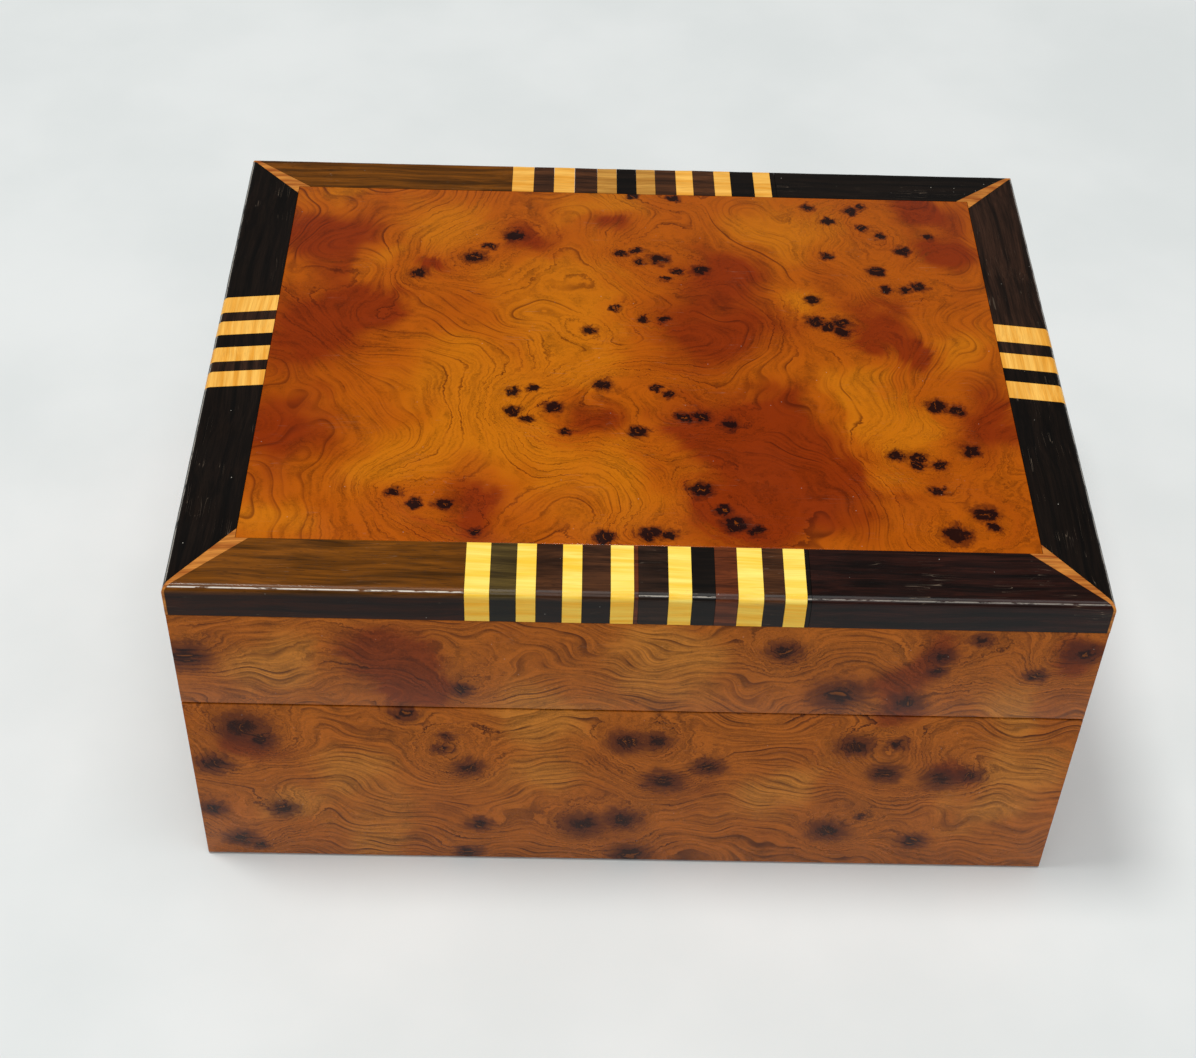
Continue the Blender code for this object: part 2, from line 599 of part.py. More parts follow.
def lock(brass, steel, base, bolt):
    case = block("lock_case", LOCK_X, LOCK_Y, LOCK_Z, brass, base)
    hollow_x = (LOCK_X[0] + LOCK_SHEET, LOCK_X[1] - LOCK_SHEET)
    hollow_y = (LOCK_Y[0] + LOCK_SHEET, LOCK_Y[1] + 0.001)
    hollow_z = (LOCK_Z[0] + LOCK_SHEET, LOCK_Z[1] - LOCK_SHEET)
    cut(case, block("case_hollow", hollow_x, hollow_y, hollow_z))
    cut(case, *keyhole_cutters("case_keyhole", (LOCK_Y[0] - 0.001, LOCK_Y[0] + LOCK_SHEET + 0.0005)))
    slot_x = (STAPLE_X[0] - 0.0006, STAPLE_X[1] + 0.0006)
    slot_z = (LOCK_Z[1] - LOCK_SHEET - 0.0005, LOCK_Z[1] + 0.001)
    cut(case, block("case_staple_slot", slot_x, hollow_y, slot_z))
    plate_x, plate_z = lock_cover_span()
    plate_y = (LOCK_Y[1] + GAP, LOCK_Y[1] + GAP + LOCK_SHEET)
    cover = block("lock_cover", plate_x, plate_y, plate_z, brass, base)
    post = rod_y("lock_post", 0.00045, KEYHOLE.x, (LOCK_Y[0] - 0.0008, plate_y[1] - 0.0002), KEYHOLE.z, sides=10)
    combine(cover, post, "UNION")
    lock_spring(steel, base)
    lock_bolt(steel, bolt)


def lock_spring(steel, base):
    """A bent strip that bears on the bolt."""
    thick = 0.00035
    centre = [(-0.0548, 0.0342), (-0.0495, 0.0328), (-0.0450, 0.0342)]
    outline = centre + [(x, z + thick) for x, z in reversed(centre)]
    return solid("lock_spring", prism_y(outline, BOLT_Y), (0, 0, 0), steel, base)


def lock_bolt(steel, bolt):
    """A flat bar, drawn back at rest, with a notch below for the key's bit."""
    bottom, top, notch = 0.0297, 0.0325, 0.0311
    tail, tip = -0.0543, -0.0431
    outline = [
        (tail, bottom),
        (-0.0512, bottom),
        (-0.0512, notch),
        (-0.0488, notch),
        (-0.0488, bottom),
        (tip, bottom),
        (tip, top),
        (tail, top),
    ]
    return solid("lock_bolt", prism_y(outline, BOLT_Y), (0, 0, 0), steel, bolt)


STAPLE_PLATE_X = (-0.0470, -0.0365)
STAPLE_PLATE_Y = (-0.0435, -0.0392)
STAPLE_PLATE_Z = (LID_BOTTOM + GAP, LID_BOTTOM + 0.0011)


def staple_pocket():
    x = (STAPLE_PLATE_X[0] - GAP, STAPLE_PLATE_X[1] + GAP)
    y = (STAPLE_PLATE_Y[0] - GAP, STAPLE_PLATE_Y[1] + GAP)
    return block("staple_pocket", x, y, (LID_BOTTOM - 0.001, STAPLE_PLATE_Z[1] + GAP))


def lock_staple(brass, lid):
    """The lid's half of the lock: a plate with a loop that the bolt enters."""
    plate = block("lock_staple", STAPLE_PLATE_X, STAPLE_PLATE_Y, STAPLE_PLATE_Z, brass, lid)
    loop_z = (STAPLE_BOTTOM, STAPLE_PLATE_Z[0] + 0.0004)
    combine(plate, block("staple_loop", STAPLE_X, STAPLE_Y, loop_z), "UNION")
    leg = 0.00065
    eye_x = (STAPLE_X[0] - 0.001, STAPLE_X[1] + 0.001)
    eye_y = (STAPLE_Y[0] + leg, STAPLE_Y[1] - leg)
    cut(plate, block("staple_eye", eye_x, eye_y, (STAPLE_BOTTOM + 0.0009, 0.0333)))
    return plate


def smooth_round_pieces():
    for obj in bpy.data.objects:
        if obj.type == "MESH" and not obj.hide_render:
            obj.data.shade_smooth()
            obj.data.set_sharp_from_angle(angle=math.radians(35))


def main():
    clear_scene()
    carcass = wood_or_metal("carcass_wood", (0.42, 0.20, 0.08), 0.55)
    burl = wood_or_metal("thuya_burl", (0.38, 0.13, 0.03), 0.25)
    walnut = wood_or_metal("walnut", (0.07, 0.04, 0.02), 0.3)
    ebony = wood_or_metal("ebony", (0.012, 0.010, 0.009), 0.25)
    stripes = wood_or_metal("striped_lemonwood", (0.75, 0.48, 0.12), 0.3)
    citron = wood_or_metal("citron_wedge", (0.50, 0.22, 0.06), 0.3)
    brass = wood_or_metal("brass", (0.70, 0.48, 0.16), 0.35, 1.0)
    steel = wood_or_metal("steel", (0.45, 0.45, 0.46), 0.4, 1.0)

    base = track("base", (0, 0, 0))
    lid = track("lid_hinge_axis", HINGE_AXIS)
    slide = track("front_slide_track", (0, SLIDE_BACK, TONGUE_Z))
    tray = track("key_tray_track", (0, 0, TRAY_BOTTOM))
    bolt = track("bolt_track", (-0.0431, BOLT_Y[0], 0.0297))

    lid_boards(carcass, lid)
    lid_veneers(burl, lid)
    lid_border(walnut, ebony, stripes, citron, lid)
    base_boards(carcass, base)
    base_veneers(burl, base)
    hinges(brass, base, lid)
    sliding_front(carcass, burl, brass, base, slide)
    key_tray(carcass, burl, brass, base, tray)
    key(brass, tray)
    lock(brass, steel, base, bolt)
    lock_staple(brass, lid)
    smooth_round_pieces()


main()
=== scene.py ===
# %% [markdown]
# # Dressing a small puzzle box
# The box is made of boards covered with thin sheets of burl, which is wood from a root with
# many small dark eyes. The lid has a border of dark woods with yellow striped blocks let
# into it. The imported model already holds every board, hinge and lock part in its place, so
# this lesson loads it and builds the finished surfaces around it.

# %% Load the box
import json
import math

import bmesh
import bpy
from mathutils import Matrix, Vector, noise

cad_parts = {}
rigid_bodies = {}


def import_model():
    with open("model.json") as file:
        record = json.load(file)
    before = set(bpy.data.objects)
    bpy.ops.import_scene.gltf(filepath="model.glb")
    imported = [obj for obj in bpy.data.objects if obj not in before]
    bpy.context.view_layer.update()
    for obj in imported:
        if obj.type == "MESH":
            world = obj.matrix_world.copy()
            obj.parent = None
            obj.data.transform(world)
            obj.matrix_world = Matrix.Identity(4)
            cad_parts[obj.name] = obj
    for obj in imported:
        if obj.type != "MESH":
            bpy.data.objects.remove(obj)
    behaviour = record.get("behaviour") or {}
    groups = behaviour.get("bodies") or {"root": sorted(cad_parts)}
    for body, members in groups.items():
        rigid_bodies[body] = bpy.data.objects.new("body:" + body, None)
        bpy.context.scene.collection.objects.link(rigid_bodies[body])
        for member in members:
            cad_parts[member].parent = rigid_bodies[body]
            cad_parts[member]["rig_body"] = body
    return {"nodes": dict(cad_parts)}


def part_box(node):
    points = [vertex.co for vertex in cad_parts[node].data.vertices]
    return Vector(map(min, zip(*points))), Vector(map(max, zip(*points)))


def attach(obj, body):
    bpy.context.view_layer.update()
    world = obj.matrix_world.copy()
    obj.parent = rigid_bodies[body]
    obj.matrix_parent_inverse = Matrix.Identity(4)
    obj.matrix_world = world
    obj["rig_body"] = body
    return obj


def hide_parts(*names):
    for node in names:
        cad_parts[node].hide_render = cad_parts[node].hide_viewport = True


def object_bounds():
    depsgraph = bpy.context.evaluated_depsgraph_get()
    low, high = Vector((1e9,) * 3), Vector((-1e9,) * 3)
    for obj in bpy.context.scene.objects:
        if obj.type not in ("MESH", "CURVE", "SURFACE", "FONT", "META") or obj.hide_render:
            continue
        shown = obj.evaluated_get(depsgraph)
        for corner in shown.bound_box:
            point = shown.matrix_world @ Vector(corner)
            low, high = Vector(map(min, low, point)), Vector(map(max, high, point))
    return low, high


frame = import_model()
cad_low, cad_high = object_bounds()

nodes = frame["nodes"]
size = cad_high - cad_low
MM = 0.001
print("box", [round(side / MM, 1) for side in size], "mm,", len(nodes), "pieces")

# %% [markdown]
# ## Camera
# The box is seen from in front and well above, at about 45 degrees, from a short distance.
# A short distance makes the near edge look wider than the far one. The camera's three axes
# are worked out from an azimuth, an elevation and a roll, which is easier to adjust than
# a location and a rotation.

# %% Place the camera
azimuth, elevation, roll = (math.radians(angle) for angle in (-1.364, 44.78, 2.132))
distance = 2.5827 * size.x
target = Vector((-0.0382, 0.0, 0.1761)) * size.x

back = Vector((
    math.sin(azimuth) * math.cos(elevation),
    -math.cos(azimuth) * math.cos(elevation),
    math.sin(elevation),
))
right = Vector((0, 0, 1)).cross(back).normalized()
up = back.cross(right)
turn = Matrix((right, up, back)).transposed() @ Matrix.Rotation(roll, 3, "Z")

camera = bpy.data.objects.new("camera", bpy.data.cameras.new("camera"))
bpy.context.scene.collection.objects.link(camera)
camera.matrix_world = Matrix.Translation(target + back * distance) @ turn.to_4x4()
camera.data.lens = 60.76
camera.data.clip_start = 0.01
bpy.context.scene.camera = camera
print("camera", [round(value, 3) for value in camera.location])

# %% [markdown]
# ## Studio light
# Varnish shows what it mirrors. Seen from the front, the top mirrors whatever stands behind
# the box, so that side is kept dim and the top keeps its deep colour. The main lamp hangs
# overhead, a little behind and to the left, which throws the soft shadow to the right. The
# front is lit by the pale floor and by a weak wide lamp over the camera.

# %% Hang the lamps
world = bpy.data.worlds.new("room")
bpy.context.scene.world = world
world.use_nodes = True
world.node_tree.nodes["Background"].inputs["Color"].default_value = (1.0, 0.99, 0.97, 1)
world.node_tree.nodes["Background"].inputs["Strength"].default_value = 0.14


def lamp(name, place, aim, width, power, colour):
    data = bpy.data.lights.new(name, "AREA")
    data.shape, data.size = "DISK", width
    data.energy, data.color = power, colour
    made = bpy.data.objects.new(name, data)
    bpy.context.scene.collection.objects.link(made)
    turned = (Vector(aim) - Vector(place)).to_track_quat("-Z", "Y").to_matrix().to_4x4()
    made.matrix_world = Matrix.Translation(place) @ turned


lamp("key_lamp", (-0.50, 0.05, 1.85), (0, 0, 0.03), 0.45, 16.0, (1.0, 0.98, 0.94))
lamp("front_lamp", (0.10, -1.60, 1.50), (0, 0, 0.02), 1.20, 10.5, (1.0, 0.99, 0.97))
lamp("top_lamp", (0.15, -0.25, 2.20), (0, 0, 0.03), 1.40, 19.0, (1.0, 0.99, 0.97))
bpy.context.scene.view_settings.view_transform = "Standard"

# %% [markdown]
# ## Node helpers
# A procedural material is a small program drawn as nodes. Written out in full, each node
# takes four or five lines, so this class adds a node, fills its inputs and returns the
# output that the next node needs. An input may be a number, a colour or another output.


# %% A bench for building node trees
def screen(code):
    """A colour as it is written for a screen, such as '8a4a1c', as the linear RGBA that nodes use."""
    parts = [int(code[i:i + 2], 16) / 255 for i in (0, 2, 4)]
    return (*((p / 12.92) if p <= 0.04045 else ((p + 0.055) / 1.055) ** 2.4 for p in parts), 1.0)


class Bench:
    def __init__(self, tree):
        self.tree = tree

    def put(self, socket, value):
        if isinstance(value, bpy.types.NodeSocket):
            self.tree.links.new(value, socket)
        elif value is not None:
            socket.default_value = value

    def add(self, kind, *values, **settings):
        node = self.tree.nodes.new("ShaderNode" + kind)
        for key, value in settings.items():
            setattr(node, key, value)
        for socket, value in zip(node.inputs, values):
            self.put(socket, value)
        return node

    def math(self, operation, a, b=None, clamp=False):
        return self.add("Math", a, b, operation=operation, use_clamp=clamp).outputs[0]

    def vector(self, operation, a, b=None):
        return self.add("VectorMath", a, b, operation=operation).outputs[0]

    def distance(self, a, b):
        return self.add("VectorMath", a, b, operation="DISTANCE").outputs["Value"]

    def fade(self, value, start, end, low=0.0, high=1.0, kind="SMOOTHSTEP"):
        return self.add("MapRange", value, start, end, low, high, interpolation_type=kind).outputs[0]

    def noise(self, place, scale, detail=2.0, rough=0.5):
        node = self.add("TexNoise", place)
        node.inputs["Scale"].default_value = scale
        node.inputs["Detail"].default_value = detail
        node.inputs["Roughness"].default_value = rough
        return node

    def grain(self, place, scale, detail=2.0, rough=0.5):
        return self.noise(place, scale, detail, rough).outputs[0]

    def mix(self, share, a, b, blend="MIX"):
        node = self.add("Mix", share, data_type="RGBA", blend_type=blend)
        self.put(node.inputs[6], a)
        self.put(node.inputs[7], b)
        return node.outputs[2]

    def join(self, x, y, z):
        return self.add("CombineXYZ", x, y, z).outputs[0]

    def split(self, place):
        return self.add("SeparateXYZ", place).outputs

    def swing(self, value, reach):
        """A value from 0 to 1, turned into one that swings to both sides of zero."""
        return self.math("MULTIPLY", self.math("SUBTRACT", value, 0.5), reach)

    def wander(self, place, reach, scale, detail, rough=0.5):
        """The place, moved about by smooth noise, by up to half of reach."""
        drift = self.noise(place, scale, detail, rough).outputs[1]
        drift = self.vector("SUBTRACT", drift, (0.5, 0.5, 0.5))
        return self.vector("ADD", place, self.vector("MULTIPLY", drift, reach))

    def streaked(self, colour, grain, contrast, gain):
        """The colour, lightened and darkened by a grain that runs from 0 to 1."""
        streak = self.math("ADD", self.math("MULTIPLY", self.swing(grain, contrast), gain), 1.0)
        return self.vector("MULTIPLY", colour, self.join(streak, streak, streak))


def group(name, inputs, outputs):
    """A shader node group. Returns the tree, its inputs by name and a function that sets an output."""
    tree = bpy.data.node_groups.new(name, "ShaderNodeTree")
    for label, kind, value in inputs:
        socket = tree.interface.new_socket(label, in_out="INPUT", socket_type="NodeSocket" + kind)
        if value is not None:
            socket.default_value = value
    for label, kind in outputs:
        tree.interface.new_socket(label, in_out="OUTPUT", socket_type="NodeSocket" + kind)
    start = tree.nodes.new("NodeGroupInput")
    end = tree.nodes.new("NodeGroupOutput")
    return tree, start.outputs, lambda label, value: tree.links.new(value, end.inputs[label])


print("bench ready; a screen's middle grey is", round(screen("808080")[0], 3), "to a node")

# %% [markdown]
# ## How burl gets its figure
# Burl grows round many small buds. Each bud is a dark eye, and the growth rings flow round
# it as water flows round stones. So the figure is drawn like a map: a smooth hilly height
# over the sheet, with a small hill at each eye, and one fine dark line wherever the height
# passes a whole number. The same height also steers the fibres, which run along the lines.
# The wide light and dark clouds come from fibres that lean towards or away from the eye of
# the viewer, and they are placed one by one, in millimetres from the middle of the sheet.


# %% The burl sheet group
def burl_sheet(name, eyes, swells, bright, dark, lean, swirl, spread, line_start):
    """A map of one sheet of burl, with its places and radii in millimetres.

    eyes and the bright and dark clouds are (x, y, radius), and swells, which are broad hills, are
    (x, y, radius, height). lean tilts the map, swirl bends its lines, spread widens the halo of
    an eye, and line_start says how early in each step of height the dark line begins.
    """
    tree, given, give = group(
        name,
        [("Place", "Vector", None)],
        [("Shade", "Float"), ("Lines", "Float"), ("Eyes", "Float"), ("Fibres", "Float")],
    )
    b = Bench(tree)
    flat = b.vector("MULTIPLY", given["Place"], (1, 1, 0))
    flatten = 1.2  # An eye is this much wider than it is tall.
    near = b.wander(flat, (3.2, 3.2, 0), 0.62, 3.0, 0.7)
    near = b.vector("MULTIPLY", near, (1, flatten, 0))

    hills, cores = 0.0, 0.0
    for x, y, radius in eyes:
        away = b.distance(near, (x, flatten * y, 0))
        hill = b.fade(away, 3.0 * radius + 3.5, 0, 0, 0.8 + 0.9 * radius, "SMOOTHERSTEP")
        spot = b.fade(away, spread * radius, 0.15 * radius)
        hills = b.math("ADD", hill, hills)
        cores = b.math("MAXIMUM", spot, cores)

    for x, y, radius, rise in swells:
        swell = b.fade(b.distance(near, (x, flatten * y, 0)), radius, 0, 0, rise)
        hills = b.math("ADD", swell, hills)

    height = b.add("VectorMath", flat, lean, operation="DOT_PRODUCT").outputs["Value"]
    broad = b.math("MULTIPLY", b.grain(flat, 0.030, 1.0), 20.0)
    local = b.math("MULTIPLY", b.grain(flat, 0.085, 1.0), swirl)
    height = b.math("ADD", b.math("ADD", height, broad), b.math("ADD", local, hills))

    flat_x, flat_y, _ = b.split(flat)

    def along(across, length, detail):
        """Noise drawn out along the lines of equal height."""
        steered = b.join(
            b.math("MULTIPLY", height, across),
            b.math("MULTIPLY", flat_x, length),
            b.math("MULTIPLY", flat_y, length),
        )
        return b.grain(steered, 1.0, detail, 0.6)

    band, fibre, fine = along(0.22, 0.03, 2.0), along(1.1, 0.07, 3.0), along(3.2, 0.25, 2.0)

    def ring_lines(rings, start, weakest):
        """Thin dark lines, each with its own strength, that fade out here and there."""
        part = b.math("FRACT", rings)
        line = b.math("MULTIPLY", b.fade(part, start, 0.94), b.fade(part, 1.0, 0.95))
        own = b.add("TexWhiteNoise", noise_dimensions="1D")
        b.put(own.inputs["W"], b.math("FLOOR", rings))
        strength = b.fade(own.outputs["Value"], 0.0, 1.0, weakest, 1.0, "LINEAR")
        return b.math("MULTIPLY", line, strength)

    patchy = b.fade(b.grain(flat, 0.16, 2.0), 0.36, 0.60, 0.25, 1.0)
    hairs_a_ring, hair_strength = 3.3, 0.42
    hairs = ring_lines(b.math("MULTIPLY", height, hairs_a_ring), 0.35, 0.0)
    hairs = b.math("MULTIPLY", hairs, hair_strength)
    lines = b.math("MAXIMUM", ring_lines(height, line_start, 0.3), hairs)
    give("Lines", b.math("MULTIPLY", lines, patchy))

    feather = b.swing(fibre, 5.0)
    far = b.vector("ADD", b.wander(flat, (15, 15, 0), 0.075, 2.5), b.join(feather, feather, 0.0))
    clouds, darkest, brightest = 0.0, -0.55, 0.6
    for places, gain in ((bright, 0.50), (dark, -0.48)):
        for x, y, radius in places:
            cloud = b.fade(b.distance(far, (x, y, 0)), 1.35 * radius, 0, 0, gain)
            clouds = b.math("ADD", cloud, clouds)
    clouds = b.math("MINIMUM", b.math("MAXIMUM", clouds, darkest), brightest)
    shade = b.math("ADD", clouds, b.math("MULTIPLY", b.grain(flat, 0.09, 2.0), 0.45))
    shade = b.math("ADD", shade, b.math("MULTIPLY", band, 0.3))
    give("Shade", b.math("ADD", shade, 0.07, clamp=True))

    feathered = b.math("ADD", cores, b.swing(fibre, b.fade(cores, 0.0, 0.2, 0, 0.35)))
    swirled = b.math("MULTIPLY", b.math("MULTIPLY", lines, 0.22), b.fade(cores, 0.0, 0.2))
    give("Eyes", b.math("ADD", feathered, swirled))
    speckle = b.grain(b.vector("MULTIPLY", near, (1.3, 4.2, 0)), 1.0, 2.0, 0.7)
    mixed = b.math("ADD", b.math("MULTIPLY", fibre, 0.34), b.math("MULTIPLY", fine, 0.33))
    give("Fibres", b.math("ADD", mixed, b.math("MULTIPLY", speckle, 0.33)))
    return tree


# %% The sheet on the lid
lid_eyes = [
    (-34.5, 18.7, 1.5), (-25.9, 23.2, 1.8), (-23.6, 26.1, 1.2), (-19.5, 29.1, 1.8), (-2.3, 25, 1),
    (0.3, 25.8, 1), (0.6, 22.8, 1), (3.6, 23.7, 1.6), (4.8, 18.5, 0.8), (6.8, 20.5, 0.9),
    (10.5, 21, 1.4), (-0.3, 41, 1.1), (6.4, 40.5, 1.1), (28.8, 38.7, 1.1), (35.9, 37.8, 1.2),
    (37.7, 39.1, 0.9), (32.1, 34.9, 1.1), (37.7, 33.4, 1), (40.3, 31.1, 1), (43.4, 27.3, 1.3),
    (31.1, 25.5, 1.2), (38.8, 21.7, 1.4), (48.2, 31.4, 1.1), (40, 17, 1), (42.9, 17, 1.1),
    (45.3, 18, 1.3), (27.9, 14, 1.2), (27.9, 8.5, 1.5), (32.1, 8.5, 1.6), (30, 7.3, 1.3),
    (32.1, 6.2, 1.3), (-3.4, 10.7, 0.8), (0.9, 8.2, 0.9), (4.3, 8.5, 0.9), (-7.3, 5.5, 1.2),
    (-18.8, -9.5, 1.1), (-15.6, -8.8, 0.9), (-5.2, -7.7, 1.5), (2.7, -8.1, 0.9), (4.8, -9.5, 0.9),
    (-18.6, -13.9, 1.2), (-16.4, -15.7, 1), (-12.5, -13.1, 1.6), (-10.5, -18.1, 0.9),
    (6.8, -14.5, 1.2), (9.4, -14.2, 1.4), (13.6, -16, 1.5), (0, -18.1, 1.4), (-35, -31.8, 1.2),
    (-31.8, -34, 1.1), (-27.7, -34, 1.4), (-23, -39.3, 0.9), (8.8, -30, 1.8), (11.8, -34.2, 1.2),
    (13.4, -37, 1.8), (16.2, -38.1, 1.2), (1.4, -39, 1.8), (4.1, -39.5, 1.3), (-5, -40.1, 1.5),
    (44.7, -10.9, 1.6), (47.5, -11.8, 1.5), (48.6, -20.7, 1.5), (37.7, -22, 1.3), (40.5, -22.2, 1.5),
    (40.5, -24, 1.2), (43.6, -24, 1.2), (42.7, -29.3, 1.2), (49.1, -33.9, 1.9), (50, -36.6, 1),
    (44.5, -38.1, 2.2),
]
lid_bright = [
    (-31, 33, 10), (-40, 24, 5), (-12, 16, 13), (-26, -8, 14), (-9, 0, 12), (-6, -26, 14),
    (-22, -20, 10), (-36, -24, 9), (24, 32, 11), (26, 14, 5), (34, -7, 9), (50, 3, 6), (37, -15, 8),
    (-49, 40, 6), (-6, 40, 10), (-51, -38, 7), (37, -25, 4),
]
lid_dark = [
    (-49, 28, 12), (-50, 5, 12), (-42, 12, 6), (-4, 33, 5), (-16, 29, 6), (-30, 20, 4), (15, 22, 9),
    (12, 5, 13), (10, -19, 11), (19, -13, 7), (25, -27, 16), (38, 8, 7), (-52, -16, 10), (48, 38, 7),
    (-8, -14, 6), (-24, -36, 7), (14, -37, 9), (52, 28, 6), (52, -14, 8), (44, 2, 5),
]
lid_swells = [
    (-11, -14, 24, 5), (-30, -35, 18, 4), (3, -13, 15, 3), (12, -34, 14, 3), (31, 8, 14, 3), (2, 24, 15, 3),
    (-24, 26, 18, 4), (38, 33, 16, 4), (42, -24, 16, 4), (-48, 8, 16, 3),
]
lid_sheet = burl_sheet(
    "burl_sheet_lid", lid_eyes, lid_swells, lid_bright, lid_dark,
    lean=(0.24, 0.10, 0), swirl=4.0, spread=1.8, line_start=0.80,
)
print("lid sheet:", len(lid_eyes), "eyes,", len(lid_sheet.nodes), "nodes")

# %% The sheet on the front
front_eyes = [
    (-63.2, 46.5, 2.2), (-24.7, 40.1, 1), (-33.2, 34.6, 1.2), (20.5, 49.6, 1.6), (29.1, 40.5, 2.3),
    (39.1, 39.2, 1.5), (47.7, 52.8, 1), (42.7, 49.2, 1.2), (42.5, 46, 0.9), (56.4, 45.5, 1),
    (62.3, 50.5, 1.6), (-54.3, 28.3, 1.5), (-56.8, 31, 2.5), (-27.3, 29.6, 0.8), (-27.9, 26.9, 1),
    (-24.1, 22.4, 1.5), (-0.5, 29.2, 1.9), (3.6, 29.6, 1.5), (11.4, 23.7, 1.5), (5, 20.1, 1.9),
    (32.7, 29.2, 1.8), (38.9, 29.8, 1), (37.9, 23, 1.7), (46.4, 21.9, 1.9), (50.5, 22.8, 1.3),
    (-61.8, 22.4, 1.7), (-63.2, 11.5, 1.3), (-52.3, 11.9, 1.5), (-22.7, 8.7, 1.2), (-6.8, 9.2, 2.2),
    (-0.9, 10.5, 1.9), (30.9, 8.7, 1.9), (35.5, 12.4, 0.5), (44.1, 6.5, 1.4), (-59.5, 4.2, 1.6),
    (-56.8, 2.8, 0.8), (-24.5, 1.5, 1.3), (0.5, 1.9, 1.9),
]
front_bright = [
    (-50, 46, 8), (-12, 36, 9), (4, 46, 10), (54, 38, 6), (-40, 22, 9), (-14, 20, 8), (18, 16, 7),
    (58, 26, 8), (-38, 6, 8), (54, 14, 7), (-50, 14, 6), (26, 22, 6),
]
front_dark = [
    (-36, 47, 9), (-30, 44, 6), (42, 50, 6), (36, 45, 6), (-57, 27, 5), (48, 22, 4), (62, 50, 5),
    (38, 36, 5),
]
front_swells = [
    (-26, 26, 10, 7), (-56, 29, 12, 6), (3, 26, 13, 7), (39, 26, 14, 7), (-56, 8, 12, 6), (-4, 9, 11, 6),
    (33, 9, 9, 5), (-26, 42, 10, 4), (-38, 48, 12, 4), (44, 48, 12, 6), (60, 48, 8, 4), (20, 50, 7, 4),
]
front_sheet = burl_sheet(
    "burl_sheet_front", front_eyes, front_swells, front_bright, front_dark,
    lean=(0.08, 0.75, 0), swirl=9.0, spread=3.0, line_start=0.50,
)
print("front sheet:", len(front_eyes), "eyes,", len(front_sheet.nodes), "nodes")

# %% [markdown]
# ## Colouring the burl
# The sheet group only says where things are. This second group turns that into colour,
# gloss and relief, so the lid can be a rich red brown and the sides a quieter one while
# both share the same recipe. Fibres lighten and darken the wood by a few per cent, lines
# add a darker brown, and each eye goes through a brown ring to a violet black core.

# %% The burl colour group
burl_paint, given, give = group(
    "burl_paint",
    [
        ("Shade", "Float", 0.5), ("Lines", "Float", 0.0), ("Eyes", "Float", 0.0), ("Fibres", "Float", 0.5),
        ("Deep", "Color", None), ("Middle", "Color", None), ("Bright", "Color", None),
        ("Line", "Color", None), ("Ring", "Color", None), ("Core", "Color", None),
        ("Line strength", "Float", 0.5), ("Fibre strength", "Float", 0.5), ("Core from", "Float", 0.58),
    ],
    [("Color", "Color"), ("Roughness", "Float")],
)
b = Bench(burl_paint)
colour = b.mix(b.fade(given["Shade"], 0.05, 0.5), given["Deep"], given["Middle"])
colour = b.mix(b.fade(given["Shade"], 0.48, 0.95), colour, given["Bright"])
colour = b.streaked(colour, given["Fibres"], given["Fibre strength"], 4.0)
colour = b.mix(b.math("MULTIPLY", given["Lines"], given["Line strength"]), colour, given["Line"])
halo = b.math("SUBTRACT", given["Eyes"], b.math("MULTIPLY", given["Core from"], 0.5))
halo = b.math("ADD", halo, b.swing(given["Fibres"], 2.2))
colour = b.mix(b.fade(halo, -0.38, 0.42, 0, 0.84), colour, given["Ring"])
cores = b.math("SUBTRACT", given["Eyes"], given["Core from"])
colour = b.mix(b.fade(cores, 0.0, 0.22, 0, 0.92), colour, given["Core"])
colour = b.mix(b.fade(given["Eyes"], 1.05, 1.12, 0, 0.45), colour, given["Middle"])
give("Color", colour)
give("Roughness", b.math("ADD", b.math("MULTIPLY", given["Fibres"], 0.14), 0.15))
print("burl colour group:", len(burl_paint.nodes), "nodes")

# %% [markdown]
# ## Straight grained woods
# The border is made of woods with a plain straight grain: walnut, ebony, yellow lemonwood
# and the boards underneath. All of them are long thin streaks, so one group draws them with
# noise that is stretched along the grain, and each wood only chooses two colours and how
# strong its pores are. A second group adds what years of handling leave on varnish: a few
# hair scratches, specks of dust and faint smudges.

# %% Straight grain group
straight_grain, given, give = group(
    "straight_grain",
    [
        ("Place", "Vector", None), ("Dark", "Color", None), ("Light", "Color", None),
        ("Pores", "Float", 0.4), ("Contrast", "Float", 0.5),
    ],
    [("Color", "Color"), ("Height", "Float")],
)
b = Bench(straight_grain)
bent = b.wander(given["Place"], (0, 3, 3), 0.05, 1.0)
wide = b.grain(b.vector("MULTIPLY", bent, (0.035, 0.9, 0.9)), 1.0, 3.0, 0.6)
thin = b.grain(b.vector("MULTIPLY", bent, (0.16, 5.5, 5.5)), 1.0, 2.0, 0.6)
pore = b.grain(b.vector("MULTIPLY", bent, (0.55, 8.0, 8.0)), 1.0, 1.0)
pore = b.math("MULTIPLY", b.fade(pore, 0.60, 0.72), given["Pores"])
colour = b.mix(b.fade(wide, 0.30, 0.70), given["Dark"], given["Light"])
colour = b.streaked(colour, thin, given["Contrast"], 2.5)
give("Color", b.mix(pore, colour, b.mix(0.75, given["Dark"], (0, 0, 0, 1))))
give("Height", b.math("SUBTRACT", b.math("MULTIPLY", thin, 0.5), pore))
print("straight grain group:", len(straight_grain.nodes), "nodes")

